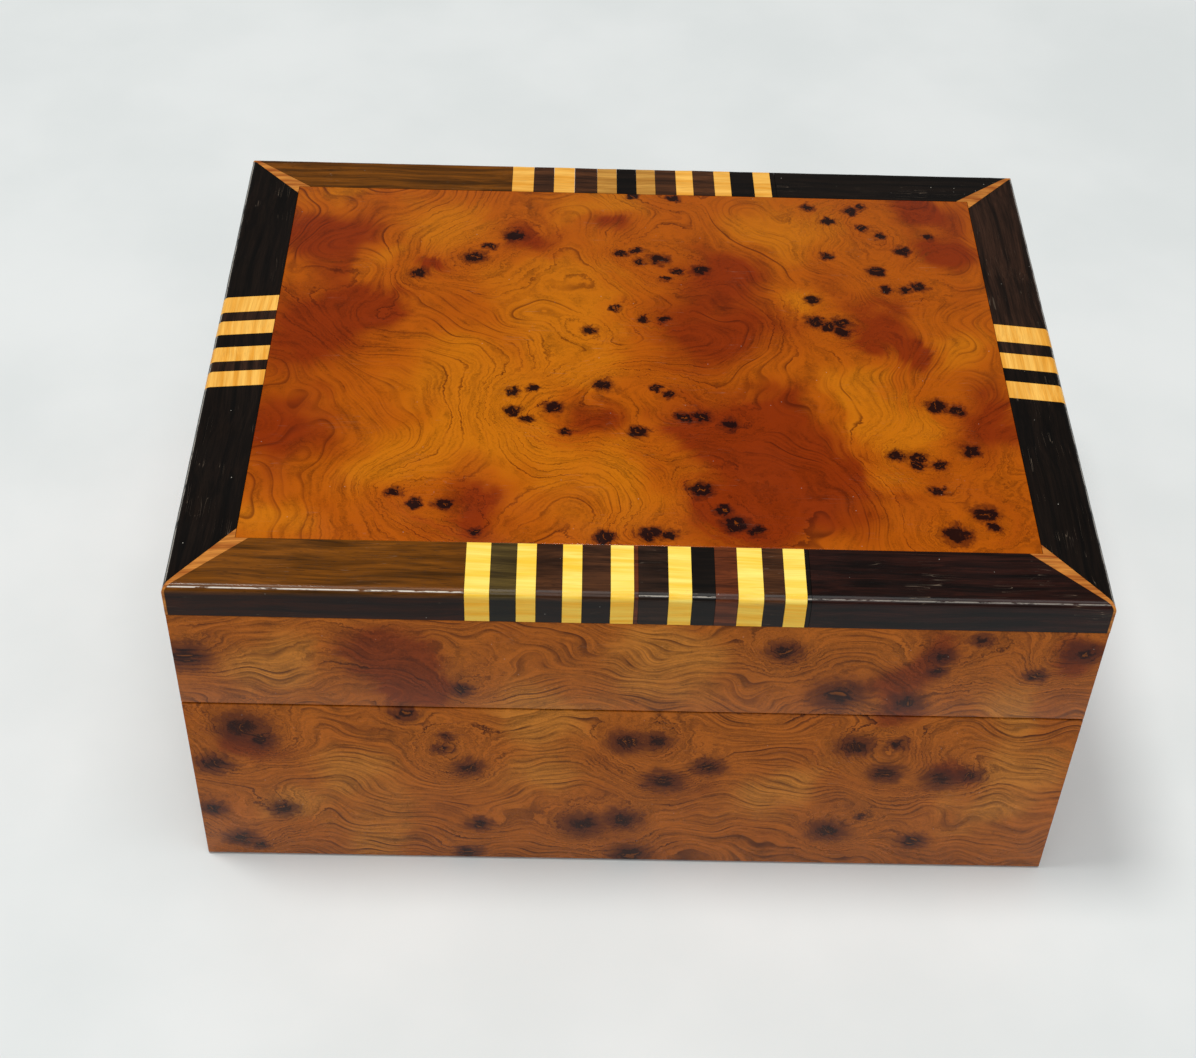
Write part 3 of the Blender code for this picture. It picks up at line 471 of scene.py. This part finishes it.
# %% Handling wear group
wear, given, give = group(
    "handling_wear",
    [("Place", "Vector", None), ("Scratches", "Float", 0.5), ("Dust", "Float", 0.5)],
    [("Scratches", "Float"), ("Dust", "Float"), ("Smudge", "Float")],
)
b = Bench(wear)
scratches = 0.0
for angle, stretch in ((0.35, 0.045), (1.15, 0.06), (-0.7, 0.05)):
    turned = b.add("Mapping", given["Place"])
    turned.inputs["Rotation"].default_value = (0, 0, angle)
    turned.inputs["Scale"].default_value = (stretch, 1.1, 1.1)
    hair = b.math("ABSOLUTE", b.math("SUBTRACT", b.grain(turned.outputs[0], 1.0, 1.0), 0.5))
    where = b.fade(b.grain(given["Place"], 0.13 + 0.05 * angle, 1.0), 0.60, 0.66)
    scratches = b.math("MAXIMUM", b.math("MULTIPLY", b.fade(hair, 0.004, 0.0), where), scratches)
give("Scratches", b.math("MULTIPLY", scratches, given["Scratches"]))
cells = b.add("TexVoronoi", given["Place"])
cells.inputs["Scale"].default_value = 0.55
chosen = b.fade(b.split(cells.outputs["Color"])[0], 0.74, 0.76)
dust = b.math("MULTIPLY", b.fade(cells.outputs["Distance"], 0.055, 0.03), chosen)
give("Dust", b.math("MULTIPLY", dust, given["Dust"]))
give("Smudge", b.fade(b.grain(given["Place"], 0.11, 3.0), 0.35, 0.7))
print("wear group:", len(wear.nodes), "nodes")

# %% [markdown]
# ## Varnish
# Every wood here sits under the same clear varnish. In the Principled shader that is the
# coat: a thin glossy layer over a duller base. The varnish function adds it in each
# material, together with the wear group, and turns the relief into a very small bump.


# %% Varnished wood
def new_material(name):
    made = bpy.data.materials.new(name)
    made.use_nodes = True
    return made, Bench(made.node_tree), made.node_tree.nodes["Principled BSDF"]


def place_in_mm(b, order="xyz", flip=(1, 1, 1), shift=(0, 0, 0)):
    """Object coordinates in millimetres, with the axes in another order: 'xzy' lays an upright face flat."""
    mapped = b.add("Mapping", b.add("TexCoord").outputs["Object"])
    mapped.inputs["Scale"].default_value = [sign / MM for sign in flip]
    parts = dict(zip("xyz", b.split(mapped.outputs[0])))
    swapped = b.add("Mapping", b.join(*(parts[axis] for axis in order)))
    swapped.inputs["Location"].default_value = shift
    return swapped.outputs[0]


dust_colour, scratch_colour = screen("d8d2c6"), screen("a08c78")
relief_depth = 0.02 * MM


def varnish(b, shader, place, colour, rough, relief, coat, coat_rough=0.08, scratch=0.4, dust=0.5):
    marks = b.add("Group", node_tree=wear)
    for label, value in (("Place", place), ("Scratches", scratch), ("Dust", dust)):
        b.put(marks.inputs[label], value)
    colour = b.mix(b.math("MULTIPLY", marks.outputs["Scratches"], 0.35), colour, scratch_colour)
    colour = b.mix(b.math("MULTIPLY", marks.outputs["Dust"], 0.6), colour, dust_colour)
    b.put(shader.inputs["Base Color"], colour)
    smudged = b.math("ADD", rough, b.math("MULTIPLY", marks.outputs["Smudge"], 0.10))
    b.put(shader.inputs["Roughness"], b.math("ADD", smudged, marks.outputs["Scratches"]))
    shader.inputs["IOR"].default_value = 1.18
    shader.inputs["Coat IOR"].default_value = 1.36
    shader.inputs["Coat Weight"].default_value = coat
    shader.inputs["Coat Roughness"].default_value = coat_rough
    height = b.math("SUBTRACT", relief, b.math("MULTIPLY", marks.outputs["Scratches"], 0.6))
    bump = b.add("Bump")
    bump.inputs["Strength"].default_value = 0.6
    bump.inputs["Distance"].default_value = relief_depth
    b.put(bump.inputs["Height"], height)
    b.put(shader.inputs["Normal"], bump.outputs[0])


lid_colours = {
    "Deep": "822c02", "Middle": "ac5304", "Bright": "be6a08",
    "Line": "4c1501", "Ring": "481505", "Core": "140506",
}
side_colours = {
    "Deep": "7c340c", "Middle": "aa5c18", "Bright": "bb7328",
    "Line": "441a06", "Ring": "4c1f12", "Core": "200b0b",
}


def add_burl(b, sheet, place, colours, lines, fibres, core_from):
    figure = b.add("Group", place, node_tree=sheet)
    paint = b.add("Group", node_tree=burl_paint)
    for label in ("Shade", "Lines", "Eyes", "Fibres"):
        b.put(paint.inputs[label], figure.outputs[label])
    for label, code in colours.items():
        b.put(paint.inputs[label], screen(code))
    paint.inputs["Line strength"].default_value = lines
    paint.inputs["Fibre strength"].default_value = fibres
    paint.inputs["Core from"].default_value = core_from
    return paint.outputs


def burl(name, sheet, colours, look, coat, order="xyz", flip=(1, 1, 1), shift=(0, 0, 0)):
    made, b, shader = new_material(name)
    place = place_in_mm(b, order, flip, shift)
    paint = add_burl(b, sheet, place, colours, *look)
    relief = b.grain(place, 2.4, 3.0)
    varnish(b, shader, place, paint["Color"], paint["Roughness"], relief, coat, coat_rough=0.10)
    return made


# How strong the lines and the fibres are, and how deep in an eye its dark core begins.
lid_look = (0.85, 0.85, 0.58)
side_look = (1.0, 1.0, 0.80)
burl_lid = burl("burl_lid", lid_sheet, lid_colours, lid_look, 0.25)

side_make = (front_sheet, side_colours, side_look, 0.08)
burl_front = burl("burl_front", *side_make, "xzy")
burl_back = burl("burl_back", *side_make, "xzy", flip=(-1, 1, 1), shift=(9, 0, 0))
burl_left = burl("burl_left", *side_make, "yzx", flip=(1, -1, 1), shift=(-6, 0, 0))
burl_right = burl("burl_right", *side_make, "yzx", shift=(12, 0, 0))
print("burl materials ready")

# %% [markdown]
# ## Sizes shared by the lid's pieces
# The border pieces are cut from one moulding: flat on the inside, falling a little towards
# the edge, and rounded where hands touch it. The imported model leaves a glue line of 0.3 mm
# round each piece so that the solids never touch. The finished pieces close that line to a
# hair, which is what a good joint looks like. Only the pieces beside the hinges keep it, so
# that the lid can open.

# %% Measure the border
seam = 0.04 * MM
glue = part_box("lid_front_burl")[0].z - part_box("front_slide_burl")[1].z
border = cad_high.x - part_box("lid_burl_panel")[1].x - glue / 2
border_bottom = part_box("border_front_left")[0].z
border_drop = 0.8 * MM
arris = 1.15 * MM
edge_depth = 2.2 * MM  # Below the top, where the upright face begins for certain.
wedge_reach, wedge_tip = 1.9 * MM, 0.4 * MM
half_x, half_y = size.x / 2, size.y / 2
print("glue line", round(glue / MM, 2), "mm, border", round(border / MM, 2), "mm wide")


def border_height(inward):
    return cad_high.z - border_drop * (1 - inward / border)


def moulding():
    """The moulding's outline as (distance in from the outer face, height)."""
    edge, steps = border_height(arris), 9
    arc = [math.pi / 2 * step / steps for step in range(steps + 1)]
    rounded = [(arris * (1 - math.cos(a)), edge - arris * (1 - math.sin(a))) for a in arc]
    inner = border - seam / 2
    return [(0.0, border_bottom), *rounded, (inner, border_height(inner)), (inner, border_bottom)]


# %% Straight grained materials
def painted_edge_highlight(b, place, along, strength):
    """A broken pale line along the rounded edge: a painted highlight, where the edge would catch the lamps.
    """
    x, y, z = b.split(b.add("TexCoord").outputs["Object"])
    outward, limit = (y, half_y) if along == "x" else (x, half_x)
    inward = b.math("SUBTRACT", limit, b.math("ABSOLUTE", outward))
    below = b.math("SUBTRACT", border_height(arris), z)
    off = b.math("ABSOLUTE", b.math("SUBTRACT", b.math("SUBTRACT", inward, below), 0.1 * MM))
    line = b.fade(off, 0.20 * MM, 0.05 * MM)
    patchy = b.grain(b.vector("MULTIPLY", place, (0.35, 2.0, 2.0)), 1.0, 4.0, 0.7)
    return b.math("MULTIPLY", b.math("MULTIPLY", line, b.fade(patchy, 0.40, 0.50)), strength)


def burl_ends(b, colour):
    """The colour, with the burl of the sides where a board shows at the ends of the box."""
    place = place_in_mm(b, "yzx", shift=(12, 0, 0))
    paint = add_burl(b, front_sheet, place, side_colours, *side_look)
    x = b.math("ABSOLUTE", b.split(b.add("TexCoord").outputs["Object"])[0])
    return b.mix(b.fade(x, half_x - 0.6 * MM, half_x - 0.4 * MM), colour, paint["Color"])


def straight(name, dark, light, along="x", pores=0.4, contrast=0.5, coat=0.4, rough=0.35,
             scratch=0.5, dust=0.5, side=None, edge_highlight=0.0, veneered_ends=False):
    """A varnished wood. `side` darkens its upright face with painted shade, and a painted highlight pales its
    rounded outer edge.
    """
    made, b, shader = new_material(name)
    place = place_in_mm(b, "xyz" if along == "x" else "yxz")
    grain = b.add("Group", node_tree=straight_grain)
    for label, value in (("Place", place), ("Dark", screen(dark)), ("Light", screen(light))):
        b.put(grain.inputs[label], value)
    grain.inputs["Pores"].default_value = pores
    grain.inputs["Contrast"].default_value = contrast
    colour = grain.outputs["Color"]
    # Painted shade: `side` multiplies the upright face by a darker colour, because that face gets less light
    # than the top.
    if side:
        height = b.split(b.add("TexCoord").outputs["Object"])[2]
        upright = b.fade(height, cad_high.z - 1.4 * MM, cad_high.z - edge_depth)
        colour = b.mix(upright, colour, screen(side), "MULTIPLY")
    # Painted highlight: a pale broken line is mixed into the colour along the rounded outer edge.
    if edge_highlight:
        colour = b.mix(painted_edge_highlight(b, place, along, edge_highlight), colour, screen("dcd4c8"))
    if veneered_ends:
        colour = burl_ends(b, colour)
    relief = grain.outputs["Height"]
    varnish(b, shader, place, colour, rough, relief, coat, scratch=scratch, dust=dust)
    return made


handled = {"scratch": 1.0, "dust": 1.0}
# Each `side` colour is painted shade on that wood's upright face.
# The rounded edge number in a look is the strength of a painted highlight.
border_woods = {
    "walnut": ("walnut", "3e2202", "78440a",
               {"pores": 0.5, "contrast": 0.4, "coat": 0.25, "side": "6c5442", "edge_highlight": 1.0}),
    "black": ("ebony", "050302", "150d08",
              {"pores": 0.3, "contrast": 0.8, "coat": 0.35, "edge_highlight": 0.5, **handled}),
    "dark_walnut": ("dark_walnut", "120a06", "332016",
                    {"pores": 0.5, "contrast": 0.6, "coat": 0.35, "edge_highlight": 0.5}),
    "red_black": ("red_black", "0b0403", "2b120c",
                  {"pores": 0.5, "contrast": 0.9, "coat": 0.35, "edge_highlight": 0.3, **handled}),
    "yellow": ("lemonwood", "fcc83e", "ffe878",
               {"pores": 0.06, "contrast": 0.12, "coat": 0.2, "side": "fbe6c0"}),
    "old_yellow": ("old_lemonwood", "e09a34", "f6be5c", {"pores": 0.1, "contrast": 0.25, "coat": 0.2}),
    "dull_yellow": ("dull_lemonwood", "a8722c", "cf9a48", {"pores": 0.2, "contrast": 0.3, "coat": 0.3}),
    "olive": ("olive_spacer", "33270f", "5c4a22", {"contrast": 0.6, "side": "5a5c5c"}),
    "brown": ("brown_spacer", "2a170c", "52301a", {"contrast": 0.6, "side": "6a6a6a"}),
    "red": ("red_spacer", "3c1a0c", "6d3418", {"contrast": 0.6}),
}
woods = {}
for along in "xy":
    for wood, (label, dark, light, look) in border_woods.items():
        woods[wood, along] = straight(f"{label}_{along}", dark, light, along, **look)
woods["wedge", "x"] = straight("citron_wedge", "8e4718", "c98238", pores=0.15, coat=0.3)

board = {"dark": "7a4521", "light": "a4673a", "contrast": 0.4, "coat": 0.15, "rough": 0.5}
carcass = straight("carcass_wood", **board)
carcass_across = straight("carcass_wood_across", along="y", **board)
slide_wood = straight("carcass_wood_veneered_ends", veneered_ends=True, **board)
print(len(woods) + 3, "straight grained materials")

# %% [markdown]
# ## Brass and steel
# The hinges, pins and lock are old brass and plain steel. Both are metals whose colour is
# broken by tarnish: soft dark clouds that are also rougher than the clean metal.


# %% Metals
def metal(name, clean, tarnished, rough):
    made, b, shader = new_material(name)
    place = place_in_mm(b)
    cloud = b.fade(b.grain(place, 0.45, 4.0, 0.65), 0.35, 0.68)
    brushed = b.grain(b.vector("MULTIPLY", place, (0.6, 9.0, 9.0)), 1.0, 2.0)
    b.put(shader.inputs["Base Color"], b.mix(cloud, screen(clean), screen(tarnished)))
    uneven = b.math("ADD", b.math("MULTIPLY", cloud, 0.22), b.math("MULTIPLY", brushed, 0.12))
    b.put(shader.inputs["Roughness"], b.math("ADD", uneven, rough))
    shader.inputs["Metallic"].default_value = 1.0
    bump = b.add("Bump")
    bump.inputs["Strength"].default_value = 0.4
    bump.inputs["Distance"].default_value = 0.01 * MM
    b.put(bump.inputs["Height"], brushed)
    b.put(shader.inputs["Normal"], bump.outputs[0])
    return made


brass = metal("old_brass", "d8b062", "8a6428", 0.22)
steel = metal("lock_steel", "b4b4b6", "6a6662", 0.28)

# %% [markdown]
# ## Putting a piece in the scene
# Each finished piece goes through the same last steps. Its doubled points are merged, its
# faces are turned outwards, it takes its material, it is told which body it moves with, and
# the solids of the imported model that it stands for are hidden.


# %% Finish a piece
sharp_from = math.radians(35)


def finish(name, bm, material, slot, *stands_for):
    bmesh.ops.remove_doubles(bm, verts=bm.verts, dist=0.002 * MM)
    bmesh.ops.recalc_face_normals(bm, faces=bm.faces)
    if bm.calc_volume(signed=True) < 0:
        bmesh.ops.reverse_faces(bm, faces=bm.faces)
    mesh = bpy.data.meshes.new(name)
    bm.to_mesh(mesh)
    bm.free()
    mesh.shade_smooth()
    mesh.set_sharp_from_angle(angle=sharp_from)
    mesh.materials.append(material)
    obj = bpy.data.objects.new(name, mesh)
    bpy.context.scene.collection.objects.link(obj)
    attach(obj, nodes[stands_for[0]]["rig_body"])
    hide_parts(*stands_for)


def everything(bm):
    return bm.verts[:] + bm.edges[:] + bm.faces[:]


def slice_off(bm, point, outwards, fill=True):
    """Cuts the mesh with a plane, takes away the outer side and closes the cut."""
    cut = bmesh.ops.bisect_plane(bm, geom=everything(bm), plane_co=point, plane_no=outwards, clear_outer=True)
    if fill:
        rim = [item for item in cut["geom_cut"] if isinstance(item, bmesh.types.BMEdge)]
        bmesh.ops.contextual_create(bm, geom=rim)


# %% [markdown]
# ## Border pieces
# A stretch of border starts as one face, the outline of the moulding, which is extruded
# along the side. Ends that meet a corner are cut at the mitre. The rounded edge is then
# made a little uneven, as a hand sanded edge is, with smooth noise that depends only on
# the place, so two neighbours still meet exactly.


# %% Cut a stretch of border
def cut_across(bm, x):
    bmesh.ops.bisect_plane(bm, geom=everything(bm), plane_co=(x, 0, 0), plane_no=(1, 0, 0))


def stretch(start, end, reach):
    """The moulding extruded along X from start to end, with its outer face at y = -reach."""
    bm = bmesh.new()
    outline = bm.faces.new([bm.verts.new((start, inward - reach, z)) for inward, z in moulding()])
    copied = bmesh.ops.extrude_face_region(bm, geom=[outline])["geom"]
    far = [item for item in copied if isinstance(item, bmesh.types.BMVert)]
    bmesh.ops.translate(bm, vec=(end - start, 0, 0), verts=far)
    step, margin = 1.3 * MM, 0.2 * MM
    for index in range(math.ceil(start / step), math.floor(end / step) + 1):
        if start + margin < index * step < end - margin:
            cut_across(bm, index * step)
    return bm


def soften(bm):
    """Wears the outer rounded edge by a few hundredths of a millimetre, always inwards."""
    for vert in bm.verts:
        inward = Vector((half_x - abs(vert.co.x), half_y - abs(vert.co.y)))
        if min(inward) < arris * 1.05 and vert.co.z > cad_high.z - edge_depth:
            ripple = 0.030 * MM * (1 + noise.noise(vert.co / (2.1 * MM)))
            dip = 0.05 * MM * max(0, noise.noise(vert.co / (7 * MM)))
            worn = (ripple + dip) * 0.7
            axis = 0 if inward.x < inward.y else 1
            vert.co.z -= worn
            vert.co[axis] -= math.copysign(worn, vert.co[axis])


quarter_turns = {"front": 0, "right": 1, "back": 2, "left": 3}


def border_piece(name, side, start, end, wood, slot, node):
    """A stretch of border. start and end run along X or Y; an end at None is mitred."""
    turns = quarter_turns[side]
    length, reach = (half_x, half_y) if turns % 2 == 0 else (half_y, half_x)
    if turns >= 2:
        start, end = (None if end is None else -end), (None if start is None else -start)
    bm = stretch(-length if start is None else start, length if end is None else end, reach)
    for mitred, sign in ((start is None, 1), (end is None, -1)):
        if mitred:
            run = border + wedge_reach - wedge_tip
            slice_off(bm, (sign * (wedge_tip - length), -reach, 0), (-sign * border, run, 0))
    quarter = Matrix.Rotation(turns * math.pi / 2, 3, "Z")
    bmesh.ops.rotate(bm, cent=(0, 0, 0), matrix=quarter, verts=bm.verts)
    soften(bm)
    along = "x" if turns % 2 == 0 else "y"
    finish(name, bm, woods[wood, along], slot, node)


def end_of(node, axis, which):
    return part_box(node)[which][axis]


# %% The eight dark rails
rails = [
    ("front", "left", "walnut", "walnut"), ("front", "right", "red_black", "ebony"),
    ("back", "left", "walnut", "walnut"), ("back", "right", "black", "ebony"),
    ("left", "front", "black", "ebony"), ("left", "back", "black", "ebony"),
    ("right", "front", "black", "ebony"), ("right", "back", "dark_walnut", "walnut"),
]
for side, end_name, wood, slot in rails:
    node = f"border_{side}_{end_name}"
    axis = 0 if side in ("front", "back") else 1
    if end_name in ("left", "front"):
        span = (None, end_of(f"stripes_{side}", axis, 0) - seam)
    else:
        span = (end_of(f"stripes_{side}", axis, 1) + seam, None)
    border_piece(f"rail_{side}_{end_name}", side, *span, wood, slot, node)
print(len(rails), "rails")

# %% [markdown]
# ## Striped blocks
# Each striped block is a row of thin strips glued side by side, yellow and dark in turn,
# and no two are quite the same width. Each list gives the wood of a strip and where it
# ends, in millimetres along its side.

# %% The strips
strips = {
    "front": [
        ("yellow", -20.6), ("olive", -17.0), ("yellow", -14.3), ("brown", -10.7), ("yellow", -8.0),
        ("brown", -4.1), ("yellow", -0.9), ("red", -0.3), ("dark_walnut", 3.8), ("yellow", 7.0),
        ("black", 10.2), ("red", 13.3), ("yellow", 16.8), ("brown", 19.7), ("yellow", 22.7),
        ("black", None),
    ],
    "back": [
        ("old_yellow", -16.9), ("brown", -13.5), ("old_yellow", -10.0), ("brown", -6.2),
        ("dull_yellow", -2.9), ("black", 0.4), ("dull_yellow", 3.6), ("brown", 7.1),
        ("old_yellow", 10.0), ("brown", 13.6), ("old_yellow", 16.4), ("black", 20.3),
        ("old_yellow", 23.2), ("black", None),
    ],
    "left": [
        ("old_yellow", -5.7), ("dark_walnut", -3.4), ("old_yellow", 0.0), ("black", 3.0),
        ("old_yellow", 6.3), ("dark_walnut", 8.5), ("old_yellow", None),
    ],
    "right": [
        ("old_yellow", -4.6), ("black", -1.6), ("old_yellow", 2.1), ("dark_walnut", 4.8),
        ("old_yellow", None),
    ],
}
for side, row in strips.items():
    node = f"stripes_{side}"
    axis = 0 if side in ("front", "back") else 1
    start = end_of(node, axis, 0)
    for index, (wood, stop) in enumerate(row, 1):
        end = end_of(node, axis, 1) if stop is None else stop * MM
        name = f"strip_{side}_{index:02d}_{wood}"
        border_piece(name, side, start, end - seam / 2, wood, "striped_lemonwood", node)
        start = end + seam / 2
print(sum(len(row) for row in strips.values()), "strips")

# %% [markdown]
# ## Corner wedges
# A thin orange wedge covers each mitre. Its top has to follow the moulding on both sides,
# so half of it is cut from a stretch of border with two planes, the mitre and the diagonal,
# and the other half is its mirror image across the diagonal.


# %% Cut a corner wedge
def corner_wedge(name, sign_x, sign_y, node):
    bm = stretch(0, border + wedge_reach + MM, 0)
    slice_off(bm, (0, 0, 0), (-1, 1, 0), fill=False)
    slice_off(bm, (wedge_tip - 1.5 * seam, 0, 0), (border, wedge_tip - border - wedge_reach, 0))
    diagonal = Vector((-1, 1, 0)).normalized()
    for face in [face for face in bm.faces if abs(face.normal.dot(diagonal)) > 0.999]:
        bm.faces.remove(face)
    twin = bmesh.ops.duplicate(bm, geom=everything(bm))["geom"]
    twin = [item for item in twin if isinstance(item, bmesh.types.BMVert)]
    swap_x_and_y = Matrix(((0, 1, 0, 0), (1, 0, 0, 0), (0, 0, 1, 0), (0, 0, 0, 1)))
    bmesh.ops.transform(bm, matrix=swap_x_and_y, verts=twin)
    bmesh.ops.remove_doubles(bm, verts=bm.verts, dist=0.002 * MM)
    for vert in bm.verts:
        vert.co.x = sign_x * (half_x - vert.co.x)
        vert.co.y = sign_y * (half_y - vert.co.y)
    soften(bm)
    finish(name, bm, woods["wedge", "x"], "citron_wedge", node)


for side_y, sign_y in (("front", -1), ("back", 1)):
    for side_x, sign_x in (("left", -1), ("right", 1)):
        corner_wedge(f"mitre_wedge_{side_y}_{side_x}", sign_x, sign_y, f"wedge_{side_y}_{side_x}")
print("4 wedges")

# %% [markdown]
# ## Boards and veneers
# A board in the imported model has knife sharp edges. The finished one is a copy: its loose
# triangles are merged back into whole faces, some faces are pushed out to close the glue
# line, and the outer edges are eased with a small bevel, which catches the light. The back
# boards keep their packed faces, because they meet in a narrow V below the hinges when the
# lid is open, and the back veneers close the line only at the corners of the box.


# %% Ease a board
sides = {
    "left": (0, 0), "right": (0, 1), "front": (1, 0), "back": (1, 1), "bottom": (2, 0), "top": (2, 1),
}
close = glue - seam
corner_start, same_place = 60 * MM, 0.01 * MM
eased_from, shortest_eased = math.radians(40), 1.5 * MM


def push_out(bm, limits, side, amount, beyond=-1.0):
    """Moves a side of the mesh outwards, where it is further than `beyond` from the middle along X."""
    axis, end = sides[side]
    for vert in bm.verts:
        if abs(vert.co[axis] - limits[end][axis]) < same_place and abs(vert.co.x) > beyond:
            vert.co[axis] += amount if end else -amount


def fitted(node, name, material, slot, closed, corners=(), amount=close, ease=0.10 * MM):
    """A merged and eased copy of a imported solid.

    The sides in `closed` are pushed out whole, and those in `corners` only near the box's corners.
    """
    bm = bmesh.new()
    bm.from_mesh(nodes[node].data)
    bmesh.ops.remove_doubles(bm, verts=bm.verts, dist=0.002 * MM)
    bmesh.ops.dissolve_limit(bm, angle_limit=math.radians(0.5), verts=bm.verts, edges=bm.edges)
    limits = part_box(node)
    for side in closed:
        push_out(bm, limits, side, amount)
    for side in corners:
        cut_across(bm, -corner_start)
        cut_across(bm, corner_start)
        push_out(bm, limits, side, amount, corner_start + same_place)
    edges = [
        edge for edge in bm.edges
        if edge.is_manifold and edge.is_convex and edge.calc_face_angle() > eased_from
        and edge.calc_length() > shortest_eased
    ]
    bmesh.ops.bevel(bm, geom=edges, offset=ease, offset_type="OFFSET", segments=2, profile=0.5,
                    affect="EDGES", clamp_overlap=True, material=-1)
    finish(name, bm, material, slot, node)


# %% The burl veneers
veneers = [
    ("lid_front_burl", burl_front, ["top"], []),
    ("lid_back_burl", burl_back, ["top"], ["front"]),
    ("lid_left_burl", burl_left, ["top", "front"], []),
    ("lid_right_burl", burl_right, ["top", "front"], []),
    ("base_back_burl", burl_back, [], ["front"]),
    ("base_left_burl", burl_left, [], []),
    ("base_right_burl", burl_right, [], []),
    ("front_slide_burl", burl_front, ["back"], []),
    ("key_tray_end_burl", burl_left, [], []),
]
for node, material, closed, corners in veneers:
    name = node.replace("burl", "veneer")
    fitted(node, name, material, "thuya_burl", closed, corners, ease=0.12 * MM)
all_round = ["left", "right", "front", "back"]
fitted("lid_burl_panel", "lid_panel", burl_lid, "thuya_burl", all_round, amount=close / 2)
print(len(veneers) + 1, "veneers")

# %% The boards
boards = [
    ("lid_front_wall", carcass, ["front"]),
    ("lid_back_wall", carcass, []),
    ("lid_left_wall", carcass_across, ["left", "front", "back"]),
    ("lid_right_wall", carcass_across, ["right", "front", "back"]),
    ("lid_top_board", carcass, ["bottom"]),
    ("base_front_wall", carcass, []),
    ("base_back_wall", carcass, []),
    ("base_left_wall", carcass_across, ["left", "front", "back"]),
    ("base_right_wall", carcass_across, ["right", "front", "back"]),
    ("base_floor", carcass, all_round),
    ("front_slide_panel", slide_wood, []),
    ("key_tray", carcass, []),
]
for node, material, closed in boards:
    name = node.replace("_wall", "_board") + "_finished"
    fitted(node, name, material, "carcass_wood", closed)
print(len(boards), "boards")

# %% [markdown]
# ## Finishing the metal
# The hinges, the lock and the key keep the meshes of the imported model, because turned and
# filed metal is as crisp as they are. Each of them only swaps its plain slot for a finish.

# %% Metal parts
metal_parts = {"brass": brass, "steel": steel}
for obj in nodes.values():
    if obj.hide_render:  # A finished piece stands for this one.
        continue
    slot = obj.material_slots[0].material.name.split(".")[0]
    for holder in obj.material_slots:
        holder.material = metal_parts.get(slot, brass)
    print(obj.name, slot)

# %% [markdown]
# ## Floor
# The box stands on a plain pale floor. A faint mottling keeps it from looking like paper.

# %% The floor
floor_mesh = bmesh.new()
bmesh.ops.create_grid(floor_mesh, x_segments=1, y_segments=1, size=1.5)
bmesh.ops.translate(floor_mesh, vec=(0, 0, cad_low.z - 0.05 * MM), verts=floor_mesh.verts)
floor_data = bpy.data.meshes.new("floor")
floor_mesh.to_mesh(floor_data)
floor_mesh.free()
floor = bpy.data.objects.new("floor", floor_data)
bpy.context.scene.collection.objects.link(floor)
floor_material, b, shader = new_material("pale_floor")
mottle = b.grain(place_in_mm(b), 0.02, 4.0)
b.put(shader.inputs["Base Color"], b.mix(b.fade(mottle, 0.3, 0.7), screen("dce2e4"), screen("e4e9eb")))
shader.inputs["Roughness"].default_value = 0.75
floor_data.materials.append(floor_material)
